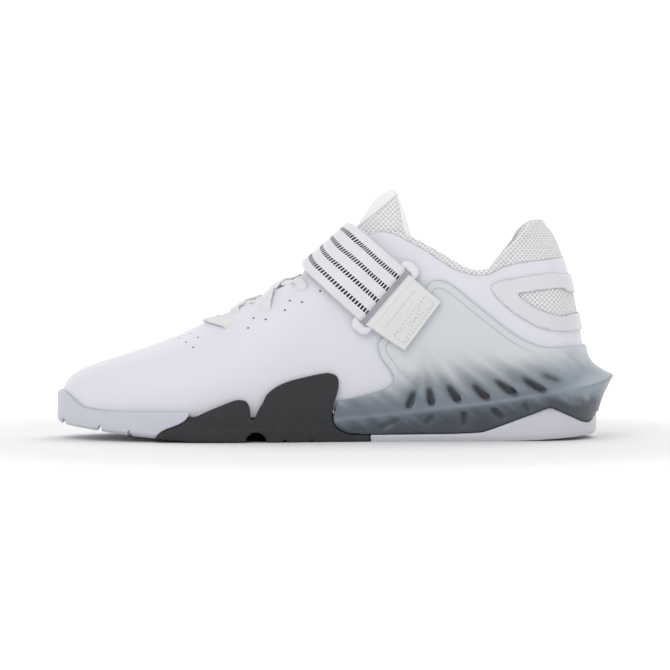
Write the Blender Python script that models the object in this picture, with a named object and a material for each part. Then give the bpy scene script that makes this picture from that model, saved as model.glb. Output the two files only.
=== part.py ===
"""A weightlifting shoe for the right foot, standing empty on its sole.

The toe points to -X and the heel to +X, the inner side of the foot faces -Y, +Z is up and the floor
is Z = 0. Every piece is worked out from one function, last(), which gives the outside of the upper.
"""

import bmesh
import bpy
import numpy as np
from mathutils.bvhtree import BVHTree

# Driving sizes of the whole shoe and its upper, in metres.
SHOE_LENGTH = 0.3005
BALL_WIDTH = 0.096
HEEL_WIDTH = 0.066
INSTEP_HEIGHT = 0.110
COLLAR_HEIGHT = 0.1155
OUTER_ANKLE_DROP = 0.003
UPPER_WALL = 0.0022
COLLAR_PAD = 0.0070
PAD_START = 0.65
PAD_FULL = 0.76

# Driving sizes of the sole, in metres.
FOREFOOT_STACK = 0.013
HEEL_LIFT = 0.015
SEAT_SPRING = 0.006
TOE_LIFT = 0.0085
HEEL_BEVEL = 0.0026
TOE_BEND = 0.30
HEEL_BEND = 0.84
TOE_EDGE = 0.0027
SOLE_EDGE = 0.0058
HEEL_EDGE = 0.0046
RIM_WALL = 0.0022
TOE_RIM_HEIGHT = 0.0262
SIDE_RIM_HEIGHT = 0.0160
LOBE_HEIGHT = 0.0362
LEDGE_HEIGHT = 0.0068
LEDGE_STEP = 0.0007
OUTSOLE_THICKNESS = 0.0036
WEDGE_PEAK = 0.0178
GROOVE_WIDTH = 0.0016
GROOVE_DEPTH = 0.0030
FLEX_NOTCH_WIDTH = 0.0112
FLEX_NOTCH_HEIGHT = 0.0054

# Driving sizes of the heel frame, in metres.
FLANGE_HEIGHT = 0.0852
FLANGE_WALL = 0.0017
SPUR_REACH = 0.0148
SPUR_HEIGHT = 0.0339
POCKET_DEPTH = 0.0046
POCKET_HALF_WIDTH = 0.0021

# The upper fills the length between the toe sole's edge and the heel's spur.
UPPER_LENGTH = SHOE_LENGTH - TOE_EDGE - SPUR_REACH

# Driving sizes of the tongue, insole, counter, strap and laces, in metres.
TONGUE_WALL = 0.0034
TONGUE_TIP_HEIGHT = 1.211 * INSTEP_HEIGHT
TONGUE_TUCK = 0.0075
INSOLE_THICKNESS = 0.0040
COUNTER_WALL = 0.0009
STRAP_WALL = 0.0012
STRAP_CROWN_HEIGHT = 1.0545 * INSTEP_HEIGHT
STRAP_LIFT = 0.0036
KEEPER_WALL = 0.0012
RING_ROD = 0.0026
RING_PITCH = 0.0088
RING_OVERHANG = 0.0041
LACE_WIDTH = 0.0054
LACE_WALL = 0.0012
EYELET_RADIUS = 0.0019
GAP = 0.0003

# Fineness of the lofts.
COLUMNS = 60
SIDE_SAMPLES = 260
RISE_SAMPLES = 90

INNER = -1
OUTER = 1

X_TOE = TOE_EDGE - SHOE_LENGTH / 2
HALF_DEPTH = 0.09
CUT_MARGIN = 0.02
TOE_WALL_BLEND = 0.013
LOBE_WALL_BLEND = 0.020
LOBE_WALL_DROP = 0.002
JOINT_RELIEF = 0.001
CORE_RELIEF = 0.004
PROBE = 0.001

# The last, a row for each strip of the upper from its feather edge to its opening, toe to heel.
# along, opening_along: shares of UPPER_LENGTH. inner, outer, opening_inner, opening_outer: shares of
# the local half width. height: share of the local instep or collar height. flare: how far the strip
# leans out at its foot, share of the local half width. rise, dip: handle heights, shares of the
# strip's height. crown: handle length at the opening, share of the strip's run.
LAST_COLUMNS = (
    "along", "inner", "outer", "opening_along", "opening_inner", "opening_outer",
    "height", "flare", "rise", "crown", "dip",
)
LAST_ROWS = (
    (0.000, -0.147, -0.147, 0.270, 0.000, 0.000, 0.562, 0.03, 0.58, 0.70, 0.60),
    (0.018, -0.442, 0.190, 0.272, -0.084, 0.084, 0.563, 0.03, 0.58, 0.70, 0.57),
    (0.065, -0.653, 0.474, 0.277, -0.168, 0.168, 0.567, 0.03, 0.56, 0.70, 0.50),
    (0.140, -0.832, 0.705, 0.289, -0.242, 0.242, 0.579, 0.03, 0.52, 0.68, 0.40),
    (0.220, -0.926, 0.874, 0.315, -0.284, 0.284, 0.607, 0.03, 0.48, 0.65, 0.30),
    (0.300, -0.958, 0.979, 0.362, -0.326, 0.326, 0.665, 0.03, 0.45, 0.62, 0.23),
    (0.380, -0.916, 1.032, 0.428, -0.382, 0.382, 0.748, 0.02, 0.44, 0.60, 0.19),
    (0.480, -0.833, 1.028, 0.505, -0.469, 0.469, 0.852, 0.02, 0.44, 0.56, 0.19),
    (0.580, -0.820, 1.035, 0.578, -0.598, 0.598, 0.980, 0.03, 0.43, 0.45, 0.21),
    (0.625, -0.840, 1.045, 0.614, -0.680, 0.690, 1.005, 0.03, 0.42, 0.35, 0.25),
    (0.670, -0.868, 1.054, 0.655, -0.759, 0.785, 0.975, 0.04, 0.40, 0.20, 0.30),
    (0.715, -0.900, 1.060, 0.709, -0.870, 0.890, 0.882, 0.05, 0.40, 0.10, 0.34),
    (0.760, -0.937, 1.070, 0.764, -0.955, 0.985, 0.786, 0.05, 0.40, 0.00, 0.36),
    (0.810, -0.955, 1.060, 0.805, -0.960, 0.990, 0.775, 0.05, 0.40, 0.00, 0.36),
    (0.855, -0.969, 1.047, 0.846, -0.885, 0.916, 0.868, 0.03, 0.39, 0.12, 0.32),
    (0.905, -0.945, 1.005, 0.878, -0.770, 0.800, 0.959, 0.00, 0.38, 0.24, 0.24),
    (0.955, -0.800, 0.850, 0.901, -0.570, 0.600, 1.001, -0.05, 0.38, 0.40, 0.12),
    (0.988, -0.460, 0.510, 0.912, -0.270, 0.300, 1.001, -0.09, 0.38, 0.46, 0.05),
    (1.000, 0.030, 0.030, 0.914, 0.016, 0.016, 1.001, -0.10, 0.38, 0.47, 0.04),
)

# Side outlines, points given as shares: along UPPER_LENGTH from the upper's toe, then height as a
# share of the size that the outline is named for.
TOE_JOINT = ((0.186, -1.00), (0.186, 0.209), (0.245, 0.848), (0.247, 2.20))
LOBE_LINE = (
    (0.246, 0.379), (0.259, 0.379), (0.284, 0.469), (0.327, 0.603), (0.339, 0.620), (0.350, 0.610),
    (0.356, 0.563), (0.359, 0.500), (0.360, 0.409), (0.362, 0.340), (0.365, 0.315), (0.369, 0.365),
    (0.375, 0.467), (0.383, 0.573), (0.394, 0.722), (0.421, 0.856), (0.461, 0.945), (0.499, 1.002),
    (0.510, 0.998), (0.519, 0.972), (0.523, 0.930), (0.525, 0.870), (0.524, 0.781), (0.521, 0.677),
    (0.516, 0.558), (0.512, 0.365),
)
REAR_JOINT = (
    (0.512, 0.365), (0.515, 0.268), (0.523, 0.186), (0.537, 0.130), (0.550, 0.108), (0.567, 0.101),
    (0.583, 0.100),
)
FLANGE_LINE = (
    (0.522, 0.254), (0.545, 0.266), (0.577, 0.291), (0.603, 0.316), (0.618, 0.338), (0.626, 0.368),
    (0.626, 0.405), (0.620, 0.446), (0.610, 0.488), (0.602, 0.530), (0.598, 0.578), (0.600, 0.620),
    (0.620, 0.690), (0.648, 0.775), (0.670, 0.860), (0.684, 0.930), (0.694, 0.980), (0.705, 1.000),
    (0.717, 1.000), (0.728, 0.988), (0.750, 0.939), (0.776, 0.868), (0.809, 0.781), (0.843, 0.692),
    (0.868, 0.638), (0.895, 0.599), (0.914, 0.585), (0.930, 0.582), (0.965, 0.586), (0.996, 0.590),
    (1.080, 0.591),
)
WEDGE_LINE = (
    (0.583, 0.000), (0.680, 0.020), (0.775, 0.060), (0.807, 0.176), (0.860, 0.579), (0.889, 0.791),
    (0.914, 0.982), (0.920, 1.000), (0.926, 0.982), (0.962, 0.652), (0.984, 0.447), (0.999, 0.432),
    (1.018, 0.732), (1.080, 1.000),
)
COUNTER_LINE = (
    (1.100, 0.770), (0.955, 0.763), (0.933, 0.771), (0.900, 0.763), (0.870, 0.751), (0.837, 0.739),
    (0.818, 0.725), (0.811, 0.708), (0.813, 0.686), (0.825, 0.648), (0.845, 0.605), (0.870, 0.562),
    (0.900, 0.523), (0.933, 0.506), (0.955, 0.502), (0.983, 0.506), (1.100, 0.506),
)
WINDOW_LINE = (
    (1.100, 0.679), (0.974, 0.679), (0.945, 0.700), (0.917, 0.696), (0.885, 0.686), (0.866, 0.680),
    (0.862, 0.668), (0.870, 0.651), (0.885, 0.624), (0.909, 0.593), (0.933, 0.576), (0.948, 0.570),
    (0.981, 0.583), (1.100, 0.590),
)

# The frame's ridge, a row for each station: along the feather edge, height as a share of SPUR_HEIGHT
# and reach as a share of SPUR_REACH.
RIDGE_ROWS = (
    (0.00, 0.33, 0.26), (0.50, 0.33, 0.26), (0.57, 0.390, 0.32), (0.63, 0.437, 0.40),
    (0.685, 0.485, 0.48), (0.735, 0.532, 0.55), (0.776, 0.572, 0.60), (0.832, 0.628, 0.65),
    (0.872, 0.690, 0.68), (0.908, 0.740, 0.70), (0.948, 0.802, 0.72), (0.985, 0.900, 0.80),
    (1.00, 1.00, 1.00),
)

# Pockets between the frame's ribs, a row each: along, height as a share of FLANGE_HEIGHT, half
# length as a share of FLANGE_HEIGHT, lean in degrees from the toe-to-heel line, depth share.
POCKETS = (
    (0.659, 0.256, 0.061, 68, 0.9), (0.696, 0.274, 0.058, 100, 1.0), (0.741, 0.289, 0.068, 126, 1.0),
    (0.792, 0.301, 0.072, 137, 1.0), (0.840, 0.329, 0.086, 147, 1.0), (0.892, 0.346, 0.086, 150, 1.0),
    (0.924, 0.390, 0.074, 158, 0.6), (0.618, 0.111, 0.078, 25, 0.5), (0.693, 0.136, 0.044, 41, 0.6),
    (0.758, 0.141, 0.045, 92, 0.8), (0.822, 0.173, 0.051, 141, 0.8), (0.875, 0.212, 0.040, 143, 0.6),
)

# The tongue's spine, a row for each station of the opening's edge: the edge's place along, the
# spine's place along and the spine's height as a share of TONGUE_TIP_HEIGHT.
TONGUE_ROWS = (
    (0.270, 0.277, 0.440), (0.277, 0.286, 0.452), (0.289, 0.299, 0.473), (0.315, 0.324, 0.507),
    (0.362, 0.365, 0.557), (0.428, 0.427, 0.626), (0.505, 0.498, 0.708), (0.578, 0.546, 0.812),
    (0.614, 0.575, 0.902), (0.640, 0.600, 0.978), (0.658, 0.629, 1.010),
)

# Where the strap's edges cross the centre line, leave the upper at the opening and meet the ring,
# front edge then rear edge: along, height as a share of STRAP_CROWN_HEIGHT.
STRAP_CROWN = ((0.465, 0.835), (0.541, 1.000))
STRAP_EDGE = ((0.472, 0.742), (0.587, 0.922))
STRAP_RING = ((0.558, 0.559), (0.643, 0.797))
STRAP_ANCHOR = ((0.611, 0.446), (0.690, 0.687))
KEEPER_FOOT = ((0.645, 0.408), (0.718, 0.640))
EYELETS = ((0.320, 0.551), (0.388, 0.629), (0.459, 0.722), (0.520, 0.811))


def smooth_step(value, start, end):
    """0 before start, 1 after end, an S curve between them."""
    share = np.clip((np.asarray(value, float) - start) / (end - start), 0, 1)
    return share * share * (3 - 2 * share)


def mix(first, second, share):
    return first + (second - first) * share


def along(share):
    """The X of a share of the upper's length."""
    return X_TOE + np.asarray(share, float) * UPPER_LENGTH


def share_at(x):
    return (np.asarray(x, float) - X_TOE) / UPPER_LENGTH


def half_width(share):
    """Half the local width, from the ball's to the heel's."""
    return mix(BALL_WIDTH, HEEL_WIDTH, smooth_step(share, 0.40, 0.85)) / 2


def top_height(share):
    """The local height of the instep or the collar."""
    return mix(INSTEP_HEIGHT, COLLAR_HEIGHT, smooth_step(share, 0.58, 0.90))


def seat_height(share):
    """Height of the feather edge: flat under the ball, sprung at the toe, lifted at the heel."""
    spring = SEAT_SPRING * (1 - np.clip(np.asarray(share, float) / 0.30, 0, 1)) ** 2
    return FOREFOOT_STACK + spring + HEEL_LIFT * smooth_step(share, 0.36, 0.86)


def ground_height(share):
    """Height of the sole's underside: it curves up at the toe and a little at the heel."""
    share = np.asarray(share, float)
    toe = TOE_LIFT * np.clip((TOE_BEND - share) / TOE_BEND, 0, 1.1) ** 1.5
    heel = HEEL_BEVEL * np.clip((share - HEEL_BEND) / (1 - HEEL_BEND), 0, 1.1) ** 1.5
    return toe + heel


def spline(knots, values, at):
    """A smooth curve through values at knots, its slopes read from the knots on either side."""
    knots, values, at = (np.asarray(v, float) for v in (knots, values, at))
    slopes = np.gradient(values, knots, axis=0)
    i = np.clip(np.searchsorted(knots, at, side="right") - 1, 0, len(knots) - 2)
    step = knots[i + 1] - knots[i]
    u = (at - knots[i]) / step
    if values.ndim > 1:
        step, u = step[..., None], u[..., None]
    return (
        values[i] * (1 + 2 * u) * (1 - u) ** 2
        + slopes[i] * step * u * (1 - u) ** 2
        + values[i + 1] * u * u * (3 - 2 * u)
        - slopes[i + 1] * step * u * u * (1 - u)
    )


def strip_table():
    """The last's rows as sizes in metres, round the shoe: toe, inner side, heel, outer side, toe."""
    rows = np.array(LAST_ROWS, float)
    column = {name: rows[:, i] for i, name in enumerate(LAST_COLUMNS)}

    def strips(side):
        inner = side == INNER
        foot_y = column["inner" if inner else "outer"] * half_width(column["along"])
        edge_y = column["opening_inner" if inner else "opening_outer"]
        edge_y = edge_y * half_width(column["opening_along"])
        drop = 0 if inner else OUTER_ANKLE_DROP * smooth_step(column["opening_along"], 0.60, 0.72)
        drop = drop * (1 - smooth_step(column["opening_along"], 0.82, 0.90))
        foot = np.stack([along(column["along"]), foot_y, seat_height(column["along"])], axis=1)
        edge_z = column["height"] * top_height(column["opening_along"]) - drop
        edge = np.stack([along(column["opening_along"]), edge_y, edge_z], axis=1)
        flare = column["flare"] * half_width(column["along"])
        shape = np.stack([flare, column["rise"], column["crown"], column["dip"]], axis=1)
        return np.concatenate([foot, edge, shape], axis=1)

    inner, outer = strips(INNER), strips(OUTER)
    middle = (inner + outer) / 2
    steps = np.linalg.norm(np.diff(inner[:, :3], axis=0), axis=1)
    steps = steps + np.linalg.norm(np.diff(outer[:, :3], axis=0), axis=1)
    steps = steps + np.linalg.norm(np.diff(middle[:, 3:6], axis=0), axis=1)
    place = np.concatenate([[0], np.cumsum(steps)]) / steps.sum()
    loop = np.concatenate([inner, outer[-2::-1]])
    places = np.concatenate([place, 2 - place[-2::-1]])
    wrapped = np.concatenate([loop[-4:-1], loop, loop[1:4]])
    wrapped_places = np.concatenate([places[-4:-1] - 2, places, places[1:4] + 2])
    return wrapped_places, wrapped


LOOP_PLACES, LOOP_ROWS = strip_table()


def strips_at(place):
    return spline(LOOP_PLACES, LOOP_ROWS, np.mod(place, 2))


def out_of(place):
    """The level direction that points out of the shoe from the feather edge."""
    reach = 0.004
    run = strips_at(place + reach)[..., :2] - strips_at(place - reach)[..., :2]
    run = run / np.linalg.norm(run, axis=-1, keepdims=True)
    return np.stack([run[..., 1], -run[..., 0], np.zeros(run.shape[:-1])], axis=-1)


def bare_last(place, rise):
    """A point of the last's skin: a cubic curve up the strip, by handle points."""
    place, rise = np.broadcast_arrays(np.asarray(place, float), np.asarray(rise, float))
    row = strips_at(place)
    foot, edge = row[..., 0:3], row[..., 3:6]
    flare, lift, crown, dip = (row[..., i, None] for i in range(6, 10))
    height = (edge - foot)[..., 2:3]
    up = np.array([0.0, 0.0, 1.0])
    level = (foot - edge) * np.array([1.0, 1.0, 0.0])
    lower = foot + out_of(place) * flare + up * lift * height
    upper = edge + level * crown - up * dip * height
    t = rise[..., None]
    return (
        foot * (1 - t) ** 3
        + lower * 3 * t * (1 - t) ** 2
        + upper * 3 * t * t * (1 - t)
        + edge * t**3
    )


def last(place, rise, off=0.0):
    """The last's skin moved off along its normal: off above 0 is outside the upper."""
    place, rise = np.broadcast_arrays(np.asarray(place, float), np.asarray(rise, float))
    reach = 0.004
    along_loop = bare_last(place + reach, rise) - bare_last(place - reach, rise)
    low, high = np.clip(rise - reach, 0, 1), np.clip(rise + reach, 0, 1)
    up_strip = bare_last(place, high) - bare_last(place, low)
    normal = np.cross(along_loop, up_strip)
    normal = normal / np.linalg.norm(normal, axis=-1, keepdims=True)
    return bare_last(place, rise) + normal * np.asarray(off, float)[..., None]


def rise_at_height(place, z):
    """The share of the strip at which it reaches height z, 0 below its foot."""
    place, z = np.broadcast_arrays(np.asarray(place, float), np.asarray(z, float))
    flat_place, flat_z = place.ravel(), z.ravel()
    rises = np.linspace(0, 1, RISE_SAMPLES)
    heights = bare_last(flat_place[:, None], rises[None, :])[..., 2]
    found = [np.interp(level, row, rises) for level, row in zip(flat_z, heights)]
    return np.array(found).reshape(place.shape)


def column_places():
    """The columns of every loft: one place list for the whole loop, closer at the toe and heel."""
    half = COLUMNS // 2
    even = np.linspace(0, 1, half + 1)
    close = even - 0.055 * np.sin(2 * np.pi * even) / np.pi
    return np.concatenate([close, 2 - close[-2:0:-1]])


PLACES = column_places()


def mirror_of(columns):
    """For each column the one at the same station on the other side."""
    return (-np.arange(columns)) % columns


def spine_of(ring):
    """The ring drawn in to one line along the middle of the shoe, to close a tray or a slab."""
    pair = ring[mirror_of(len(ring))]
    line = (ring + pair) / 2
    centre = (line[:, 0].min() + line[:, 0].max()) / 2
    line[:, 0] = centre + (line[:, 0] - centre) * 0.86
    line[:, 2] = ring[:, 2]
    line[:, 2] = (line[:, 2] + line[mirror_of(len(ring)), 2]) / 2
    return line


def material(name, colour, roughness, metallic=0.0):
    made = bpy.data.materials.new(name)
    made.use_nodes = True
    shader = made.node_tree.nodes["Principled BSDF"]
    shader.inputs["Base Color"].default_value = (*colour, 1.0)
    shader.inputs["Roughness"].default_value = roughness
    shader.inputs["Metallic"].default_value = metallic
    return made


def collection(name):
    made = bpy.data.collections.new(name)
    bpy.context.scene.collection.children.link(made)
    return made


def mesh_object(name, points, faces, group, finish=None):
    """A mesh object from points and faces, its doubles merged and its faces turned out."""
    mesh = bpy.data.meshes.new(name)
    mesh.from_pydata([tuple(p) for p in points], [], [tuple(f) for f in faces])
    work = bmesh.new()
    work.from_mesh(mesh)
    bmesh.ops.remove_doubles(work, verts=work.verts, dist=1e-6)
    bmesh.ops.dissolve_degenerate(work, edges=work.edges, dist=1e-6)
    bmesh.ops.recalc_face_normals(work, faces=work.faces)
    bmesh.ops.triangulate(work, faces=work.faces)
    work.to_mesh(mesh)
    work.free()
    if finish is not None:
        mesh.materials.append(finish)
    made = bpy.data.objects.new(name, mesh)
    group.objects.link(made)
    return made


def stack_rings(name, rings, group, finish=None, tube=False):
    """A solid whose skin runs through a stack of closed rings. A tube's last ring joins its first."""
    rings = np.array(rings, float)
    count, columns = rings.shape[:2]
    faces = []
    for row in range(count if tube else count - 1):
        for i in range(columns):
            j = (i + 1) % columns
            above = (row + 1) % count
            faces.append((row * columns + i, row * columns + j, above * columns + j, above * columns + i))
    return mesh_object(name, rings.reshape(-1, 3), faces, group, finish)


def stack_strips(name, sections, group, finish=None):
    """A solid through a stack of open sections, each a closed polygon, with both ends capped."""
    sections = np.array(sections, float)
    count, corners = sections.shape[:2]
    faces = [
        (row * corners + i, row * corners + (i + 1) % corners,
         (row + 1) * corners + (i + 1) % corners, (row + 1) * corners + i)
        for row in range(count - 1)
        for i in range(corners)
    ]
    faces.append(tuple(range(corners))[::-1])
    faces.append(tuple((count - 1) * corners + i for i in range(corners)))
    return mesh_object(name, sections.reshape(-1, 3), faces, group, finish)


def prism(name, outline, group):
    """A cutter: a side outline of (x, z) points carried right across the shoe."""
    outline = np.array(outline, float)
    near = np.stack([outline[:, 0], np.full(len(outline), -HALF_DEPTH), outline[:, 1]], axis=1)
    far = near * np.array([1.0, -1.0, 1.0])
    return as_cutter(stack_strips(name, [near, far], group))


def as_cutter(made):
    made.hide_render = True
    made.display_type = "WIRE"
    return made


def cut(made, cutter, operation):
    modifier = made.modifiers.new(operation.title(), "BOOLEAN")
    modifier.operation = operation
    modifier.solver = "EXACT"
    modifier.object = cutter


def fine_line(points, height, per=2):
    """A side outline's shares as (x, z) in metres, with per steps on a curve between its points."""
    points = np.array(points, float)
    knots = np.arange(len(points))
    at = np.linspace(0, len(points) - 1, (len(points) - 1) * per + 1)
    line = spline(knots, points, at)
    return np.stack([along(line[:, 0]), line[:, 1] * height], axis=1)


def shifted(line, gap):
    """An (x, z) line moved sideways by gap, to its right as it runs."""
    run = np.gradient(line, axis=0)
    run = run / np.linalg.norm(run, axis=1, keepdims=True)
    return line + np.stack([run[:, 1], -run[:, 0]], axis=1) * gap


def edge_reach(place):
    """How far the sole's foot stands out from the feather edge: toe, ball and heel."""
    share = share_at(strips_at(place)[..., 0])
    reach = mix(TOE_EDGE, SOLE_EDGE, smooth_step(share, 0.00, 0.16))
    return mix(reach, HEEL_EDGE, smooth_step(share, 0.90, 1.00))


def out_from(place, z, reach):
    """A point at height z, out from the last, or out from the feather edge where z is below it."""
    rise = rise_at_height(place, z)
    point = bare_last(place, rise)
    point = point + out_of(place) * np.asarray(reach, float)[..., None]
    point[..., 2] = z
    return point


def sole_section(place, low, high, rows, reach_at):
    """Rings up the outside of a sole piece from low to high, with reach_at(place, share, z)."""
    rings = []
    for share in np.linspace(0, 1, rows):
        z = mix(low, high, share)
        rings.append(out_from(place, z, reach_at(place, share, z)))
    return rings


def tray(name, group, finish, top, rows, reach_at, wall_rows=5):
    """A sole blank all round the shoe: outside, rim, inner wall against the upper, and its floor."""
    share = share_at(strips_at(PLACES)[:, 0])
    low = ground_height(share)
    seat = seat_height(share) - GAP
    high = np.maximum(top(share), seat + 2 * GAP)
    outside = sole_section(PLACES, low, high, rows, reach_at)
    wall = []
    for step in np.linspace(1, 0, wall_rows):
        rise = rise_at_height(PLACES, mix(seat + GAP, high, step))
        wall.append(last(PLACES, rise, np.full(len(PLACES), GAP)))
    wall[0][:, 2] = high
    wall[-1][:, 2] = seat
    rings = [spine_of(outside[0]), *outside, *wall, spine_of(wall[-1])]
    return stack_rings(name, rings, group, finish)


def slab(name, group, finish, low, high, reach):
    """A slab under the foot between two heights, its side reach out from the feather edge."""
    strips = strips_at(PLACES)
    share = share_at(strips[:, 0])
    foot = strips[:, :3] + out_of(PLACES) * reach
    bottom, top = foot.copy(), foot.copy()
    bottom[:, 2], top[:, 2] = low(share), high(share)
    return stack_rings(name, [spine_of(bottom), bottom, top, spine_of(top)], group, finish)


def upper_wall(place, rise):
    """The upper's wall: thin at the foot and throat, padded round the collar."""
    edge_share = share_at(strips_at(place)[..., 3])
    padded = smooth_step(edge_share, PAD_START, PAD_FULL) * smooth_step(rise, 0.52, 0.86)
    return mix(UPPER_WALL, COLLAR_PAD, padded)


def build_upper(group, cutters, finish):
    """The upper: one wall from feather edge to opening, thickened into a pad round the collar."""
    outer_rises = np.array([0, 0.10, 0.21, 0.33, 0.46, 0.59, 0.72, 0.84, 0.94, 1.0])
    inner_rises = np.array([1.0, 0.88, 0.70, 0.48, 0.22, 0.0])
    edge_share = share_at(strips_at(PLACES)[:, 3])
    padded = smooth_step(edge_share, PAD_START, PAD_FULL)

    def wall(rise):
        return upper_wall(PLACES, rise)

    rings = [last(PLACES, np.full(COLUMNS, rise)) for rise in outer_rises]
    crest = last(PLACES, np.ones(COLUMNS), -wall(1.0) / 2)
    crest[:, 2] += 0.22 * wall(1.0) * padded
    rings.append(crest)
    for rise in inner_rises:
        rings.append(last(PLACES, np.full(COLUMNS, rise), -wall(rise)))
    made = stack_rings("upper", rings, group, finish, tube=True)
    holes = eyelet_cutters(cutters)
    cut(made, holes, "DIFFERENCE")
    return made


def side_grid(side):
    """A fine net of one side of the last, for finding points from their side view."""
    places = np.linspace(0.02, 0.98, SIDE_SAMPLES)
    if side == OUTER:
        places = 2 - places
    rises = np.linspace(0, 1, RISE_SAMPLES)
    grid = bare_last(places[:, None], rises[None, :])
    return places, rises, grid


SIDE_GRIDS = {side: side_grid(side) for side in (INNER, OUTER)}


def side_place(x, z, side):
    """The loop place and rise of the point of one side that is seen at (x, z) from the side."""
    places, rises, grid = SIDE_GRIDS[side]
    x, z = np.broadcast_arrays(np.asarray(x, float), np.asarray(z, float))
    found = np.empty(x.shape + (2,))
    for index in np.ndindex(x.shape):
        gap = (grid[..., 0] - x[index]) ** 2 + (grid[..., 2] - z[index]) ** 2
        i, j = np.unravel_index(np.argmin(gap), gap.shape)
        i, j = np.clip(i, 1, len(places) - 2), np.clip(j, 1, len(rises) - 2)
        by_place = (grid[i + 1, j] - grid[i - 1, j]) / 2
        by_rise = (grid[i, j + 1] - grid[i, j - 1]) / 2
        off = np.array([x[index] - grid[i, j, 0], z[index] - grid[i, j, 2]])
        turn = np.array([[by_place[0], by_rise[0]], [by_place[2], by_rise[2]]])
        step = np.clip(np.linalg.solve(turn, off), -1.5, 1.5)
        found[index] = (
            places[i] + step[0] * (places[i + 1] - places[i]),
            np.clip(rises[j] + step[1] * (rises[j + 1] - rises[j]), 0, 1),
        )
    return found[..., 0], found[..., 1]


def on_side(x, z, side, off=0.0):
    """The point seen at (x, z) from the side, off outside the upper."""
    place, rise = side_place(x, z, side)
    return last(place, rise, np.asarray(off, float) + np.zeros(place.shape))


def side_normal(x, z, side):
    step = on_side(x, z, side, PROBE) - on_side(x, z, side, 0.0)
    return step / np.linalg.norm(step, axis=-1, keepdims=True)


def eyelet_points():
    """Eyelet centres of one side, from the side view table, as (x, z)."""
    return [(along(a), h * INSTEP_HEIGHT) for a, h in EYELETS]


def round_cutter(centre, direction, radius, depth, corners=10):
    """Corner rings of a plain cylinder about direction."""
    direction = np.array(direction, float)
    side = np.cross(direction, [1.0, 0.0, 0.0])
    side = side / np.linalg.norm(side)
    other = np.cross(direction, side)
    turn = np.arange(corners) * 2 * np.pi / corners
    ring = np.cos(turn)[:, None] * side + np.sin(turn)[:, None] * other
    return [centre + ring * radius + direction * reach for reach in (-depth, depth)]


def joined(name, solids, group):
    """Several capped solids, each a list of sections, put into one cutter mesh."""
    points, faces, start = [], [], 0
    for sections in solids:
        sections = np.array(sections, float)
        count, corners = sections.shape[:2]
        for row in range(count - 1):
            for i in range(corners):
                j = (i + 1) % corners
                faces.append((start + row * corners + i, start + row * corners + j,
                              start + (row + 1) * corners + j, start + (row + 1) * corners + i))
        faces.append(tuple(start + i for i in range(corners))[::-1])
        faces.append(tuple(start + (count - 1) * corners + i for i in range(corners)))
        points.append(sections.reshape(-1, 3))
        start += count * corners
    return as_cutter(mesh_object(name, np.concatenate(points), faces, group))


def eyelet_cutters(cutters):
    solids = []
    for side in (INNER, OUTER):
        for x, z in eyelet_points():
            centre = on_side(x, z, side)
            solids.append(round_cutter(centre, side_normal(x, z, side), EYELET_RADIUS, 2 * UPPER_WALL))
    return joined("eyelet_cutters", solids, cutters)


def toe_reach(place, share, z):
    """The front sole's side: its foot tucks in under a plain wall that thins to its rim."""
    foot = 1 - 0.55 * (1 - smooth_step(share, 0.0, 0.16))
    seat = seat_height(share_at(strips_at(place)[..., 0]))
    thin = smooth_step(z, seat, seat + TOE_WALL_BLEND)
    return mix(edge_reach(place) * foot, GAP + RIM_WALL, thin)


def wrap_reach(place, share, z):
    """The dark midsole's side: a proud foot band, a ledge, then a wall thinning up the lobes."""
    ledge = LEDGE_STEP * (1 - smooth_step(z, LEDGE_HEIGHT * 0.9, LEDGE_HEIGHT * 1.15))
    seat = seat_height(share_at(strips_at(place)[..., 0]))
    thin = smooth_step(z, seat - LOBE_WALL_DROP, seat + LOBE_WALL_BLEND)
    return mix(edge_reach(place) - LEDGE_STEP, GAP + RIM_WALL, thin) + ledge


def build_toe_sole(group, cutters, finish):
    """The pale front sole, a cup round the toe as far as the dark midsole."""
    blank = tray("toe_sole", group, finish, lambda share: rim_height(share), 7, toe_reach)
    joint = fine_line(TOE_JOINT, SIDE_RIM_HEIGHT)
    front = along(0) - CUT_MARGIN
    outline = np.concatenate([
        [[joint[0, 0], -CUT_MARGIN], [front, -CUT_MARGIN], [front, HALF_DEPTH]],
        [[joint[-1, 0], HALF_DEPTH]], joint[::-1],
    ])
    cut(blank, prism("toe_prism", outline, cutters), "INTERSECT")
    cut(blank, toe_grooves(cutters), "DIFFERENCE")
    return blank


def rim_height(share):
    """The rim of the front sole: high over the toe, level along the side."""
    high = 1 - smooth_step(share, 0.0, 0.075)
    return mix(SIDE_RIM_HEIGHT, TOE_RIM_HEIGHT, high**1.4)


def box_sections(x, z, width):
    """A box across the shoe, its top at z, as two sections."""
    corners = [(x - width / 2, z - CUT_MARGIN), (x + width / 2, z - CUT_MARGIN),
               (x + width / 2, z), (x - width / 2, z)]
    return [np.array([(cx, y, cz) for cx, cz in corners]) for y in (-HALF_DEPTH, HALF_DEPTH)]


def toe_grooves(cutters):
    solids = []
    for share in (0.006, 0.078, 0.135):
        top = float(ground_height(share)) + GROOVE_DEPTH
        solids.append(box_sections(float(along(share)), top, GROOVE_WIDTH))
    return joined("toe_groove_cutters", solids, cutters)


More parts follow.
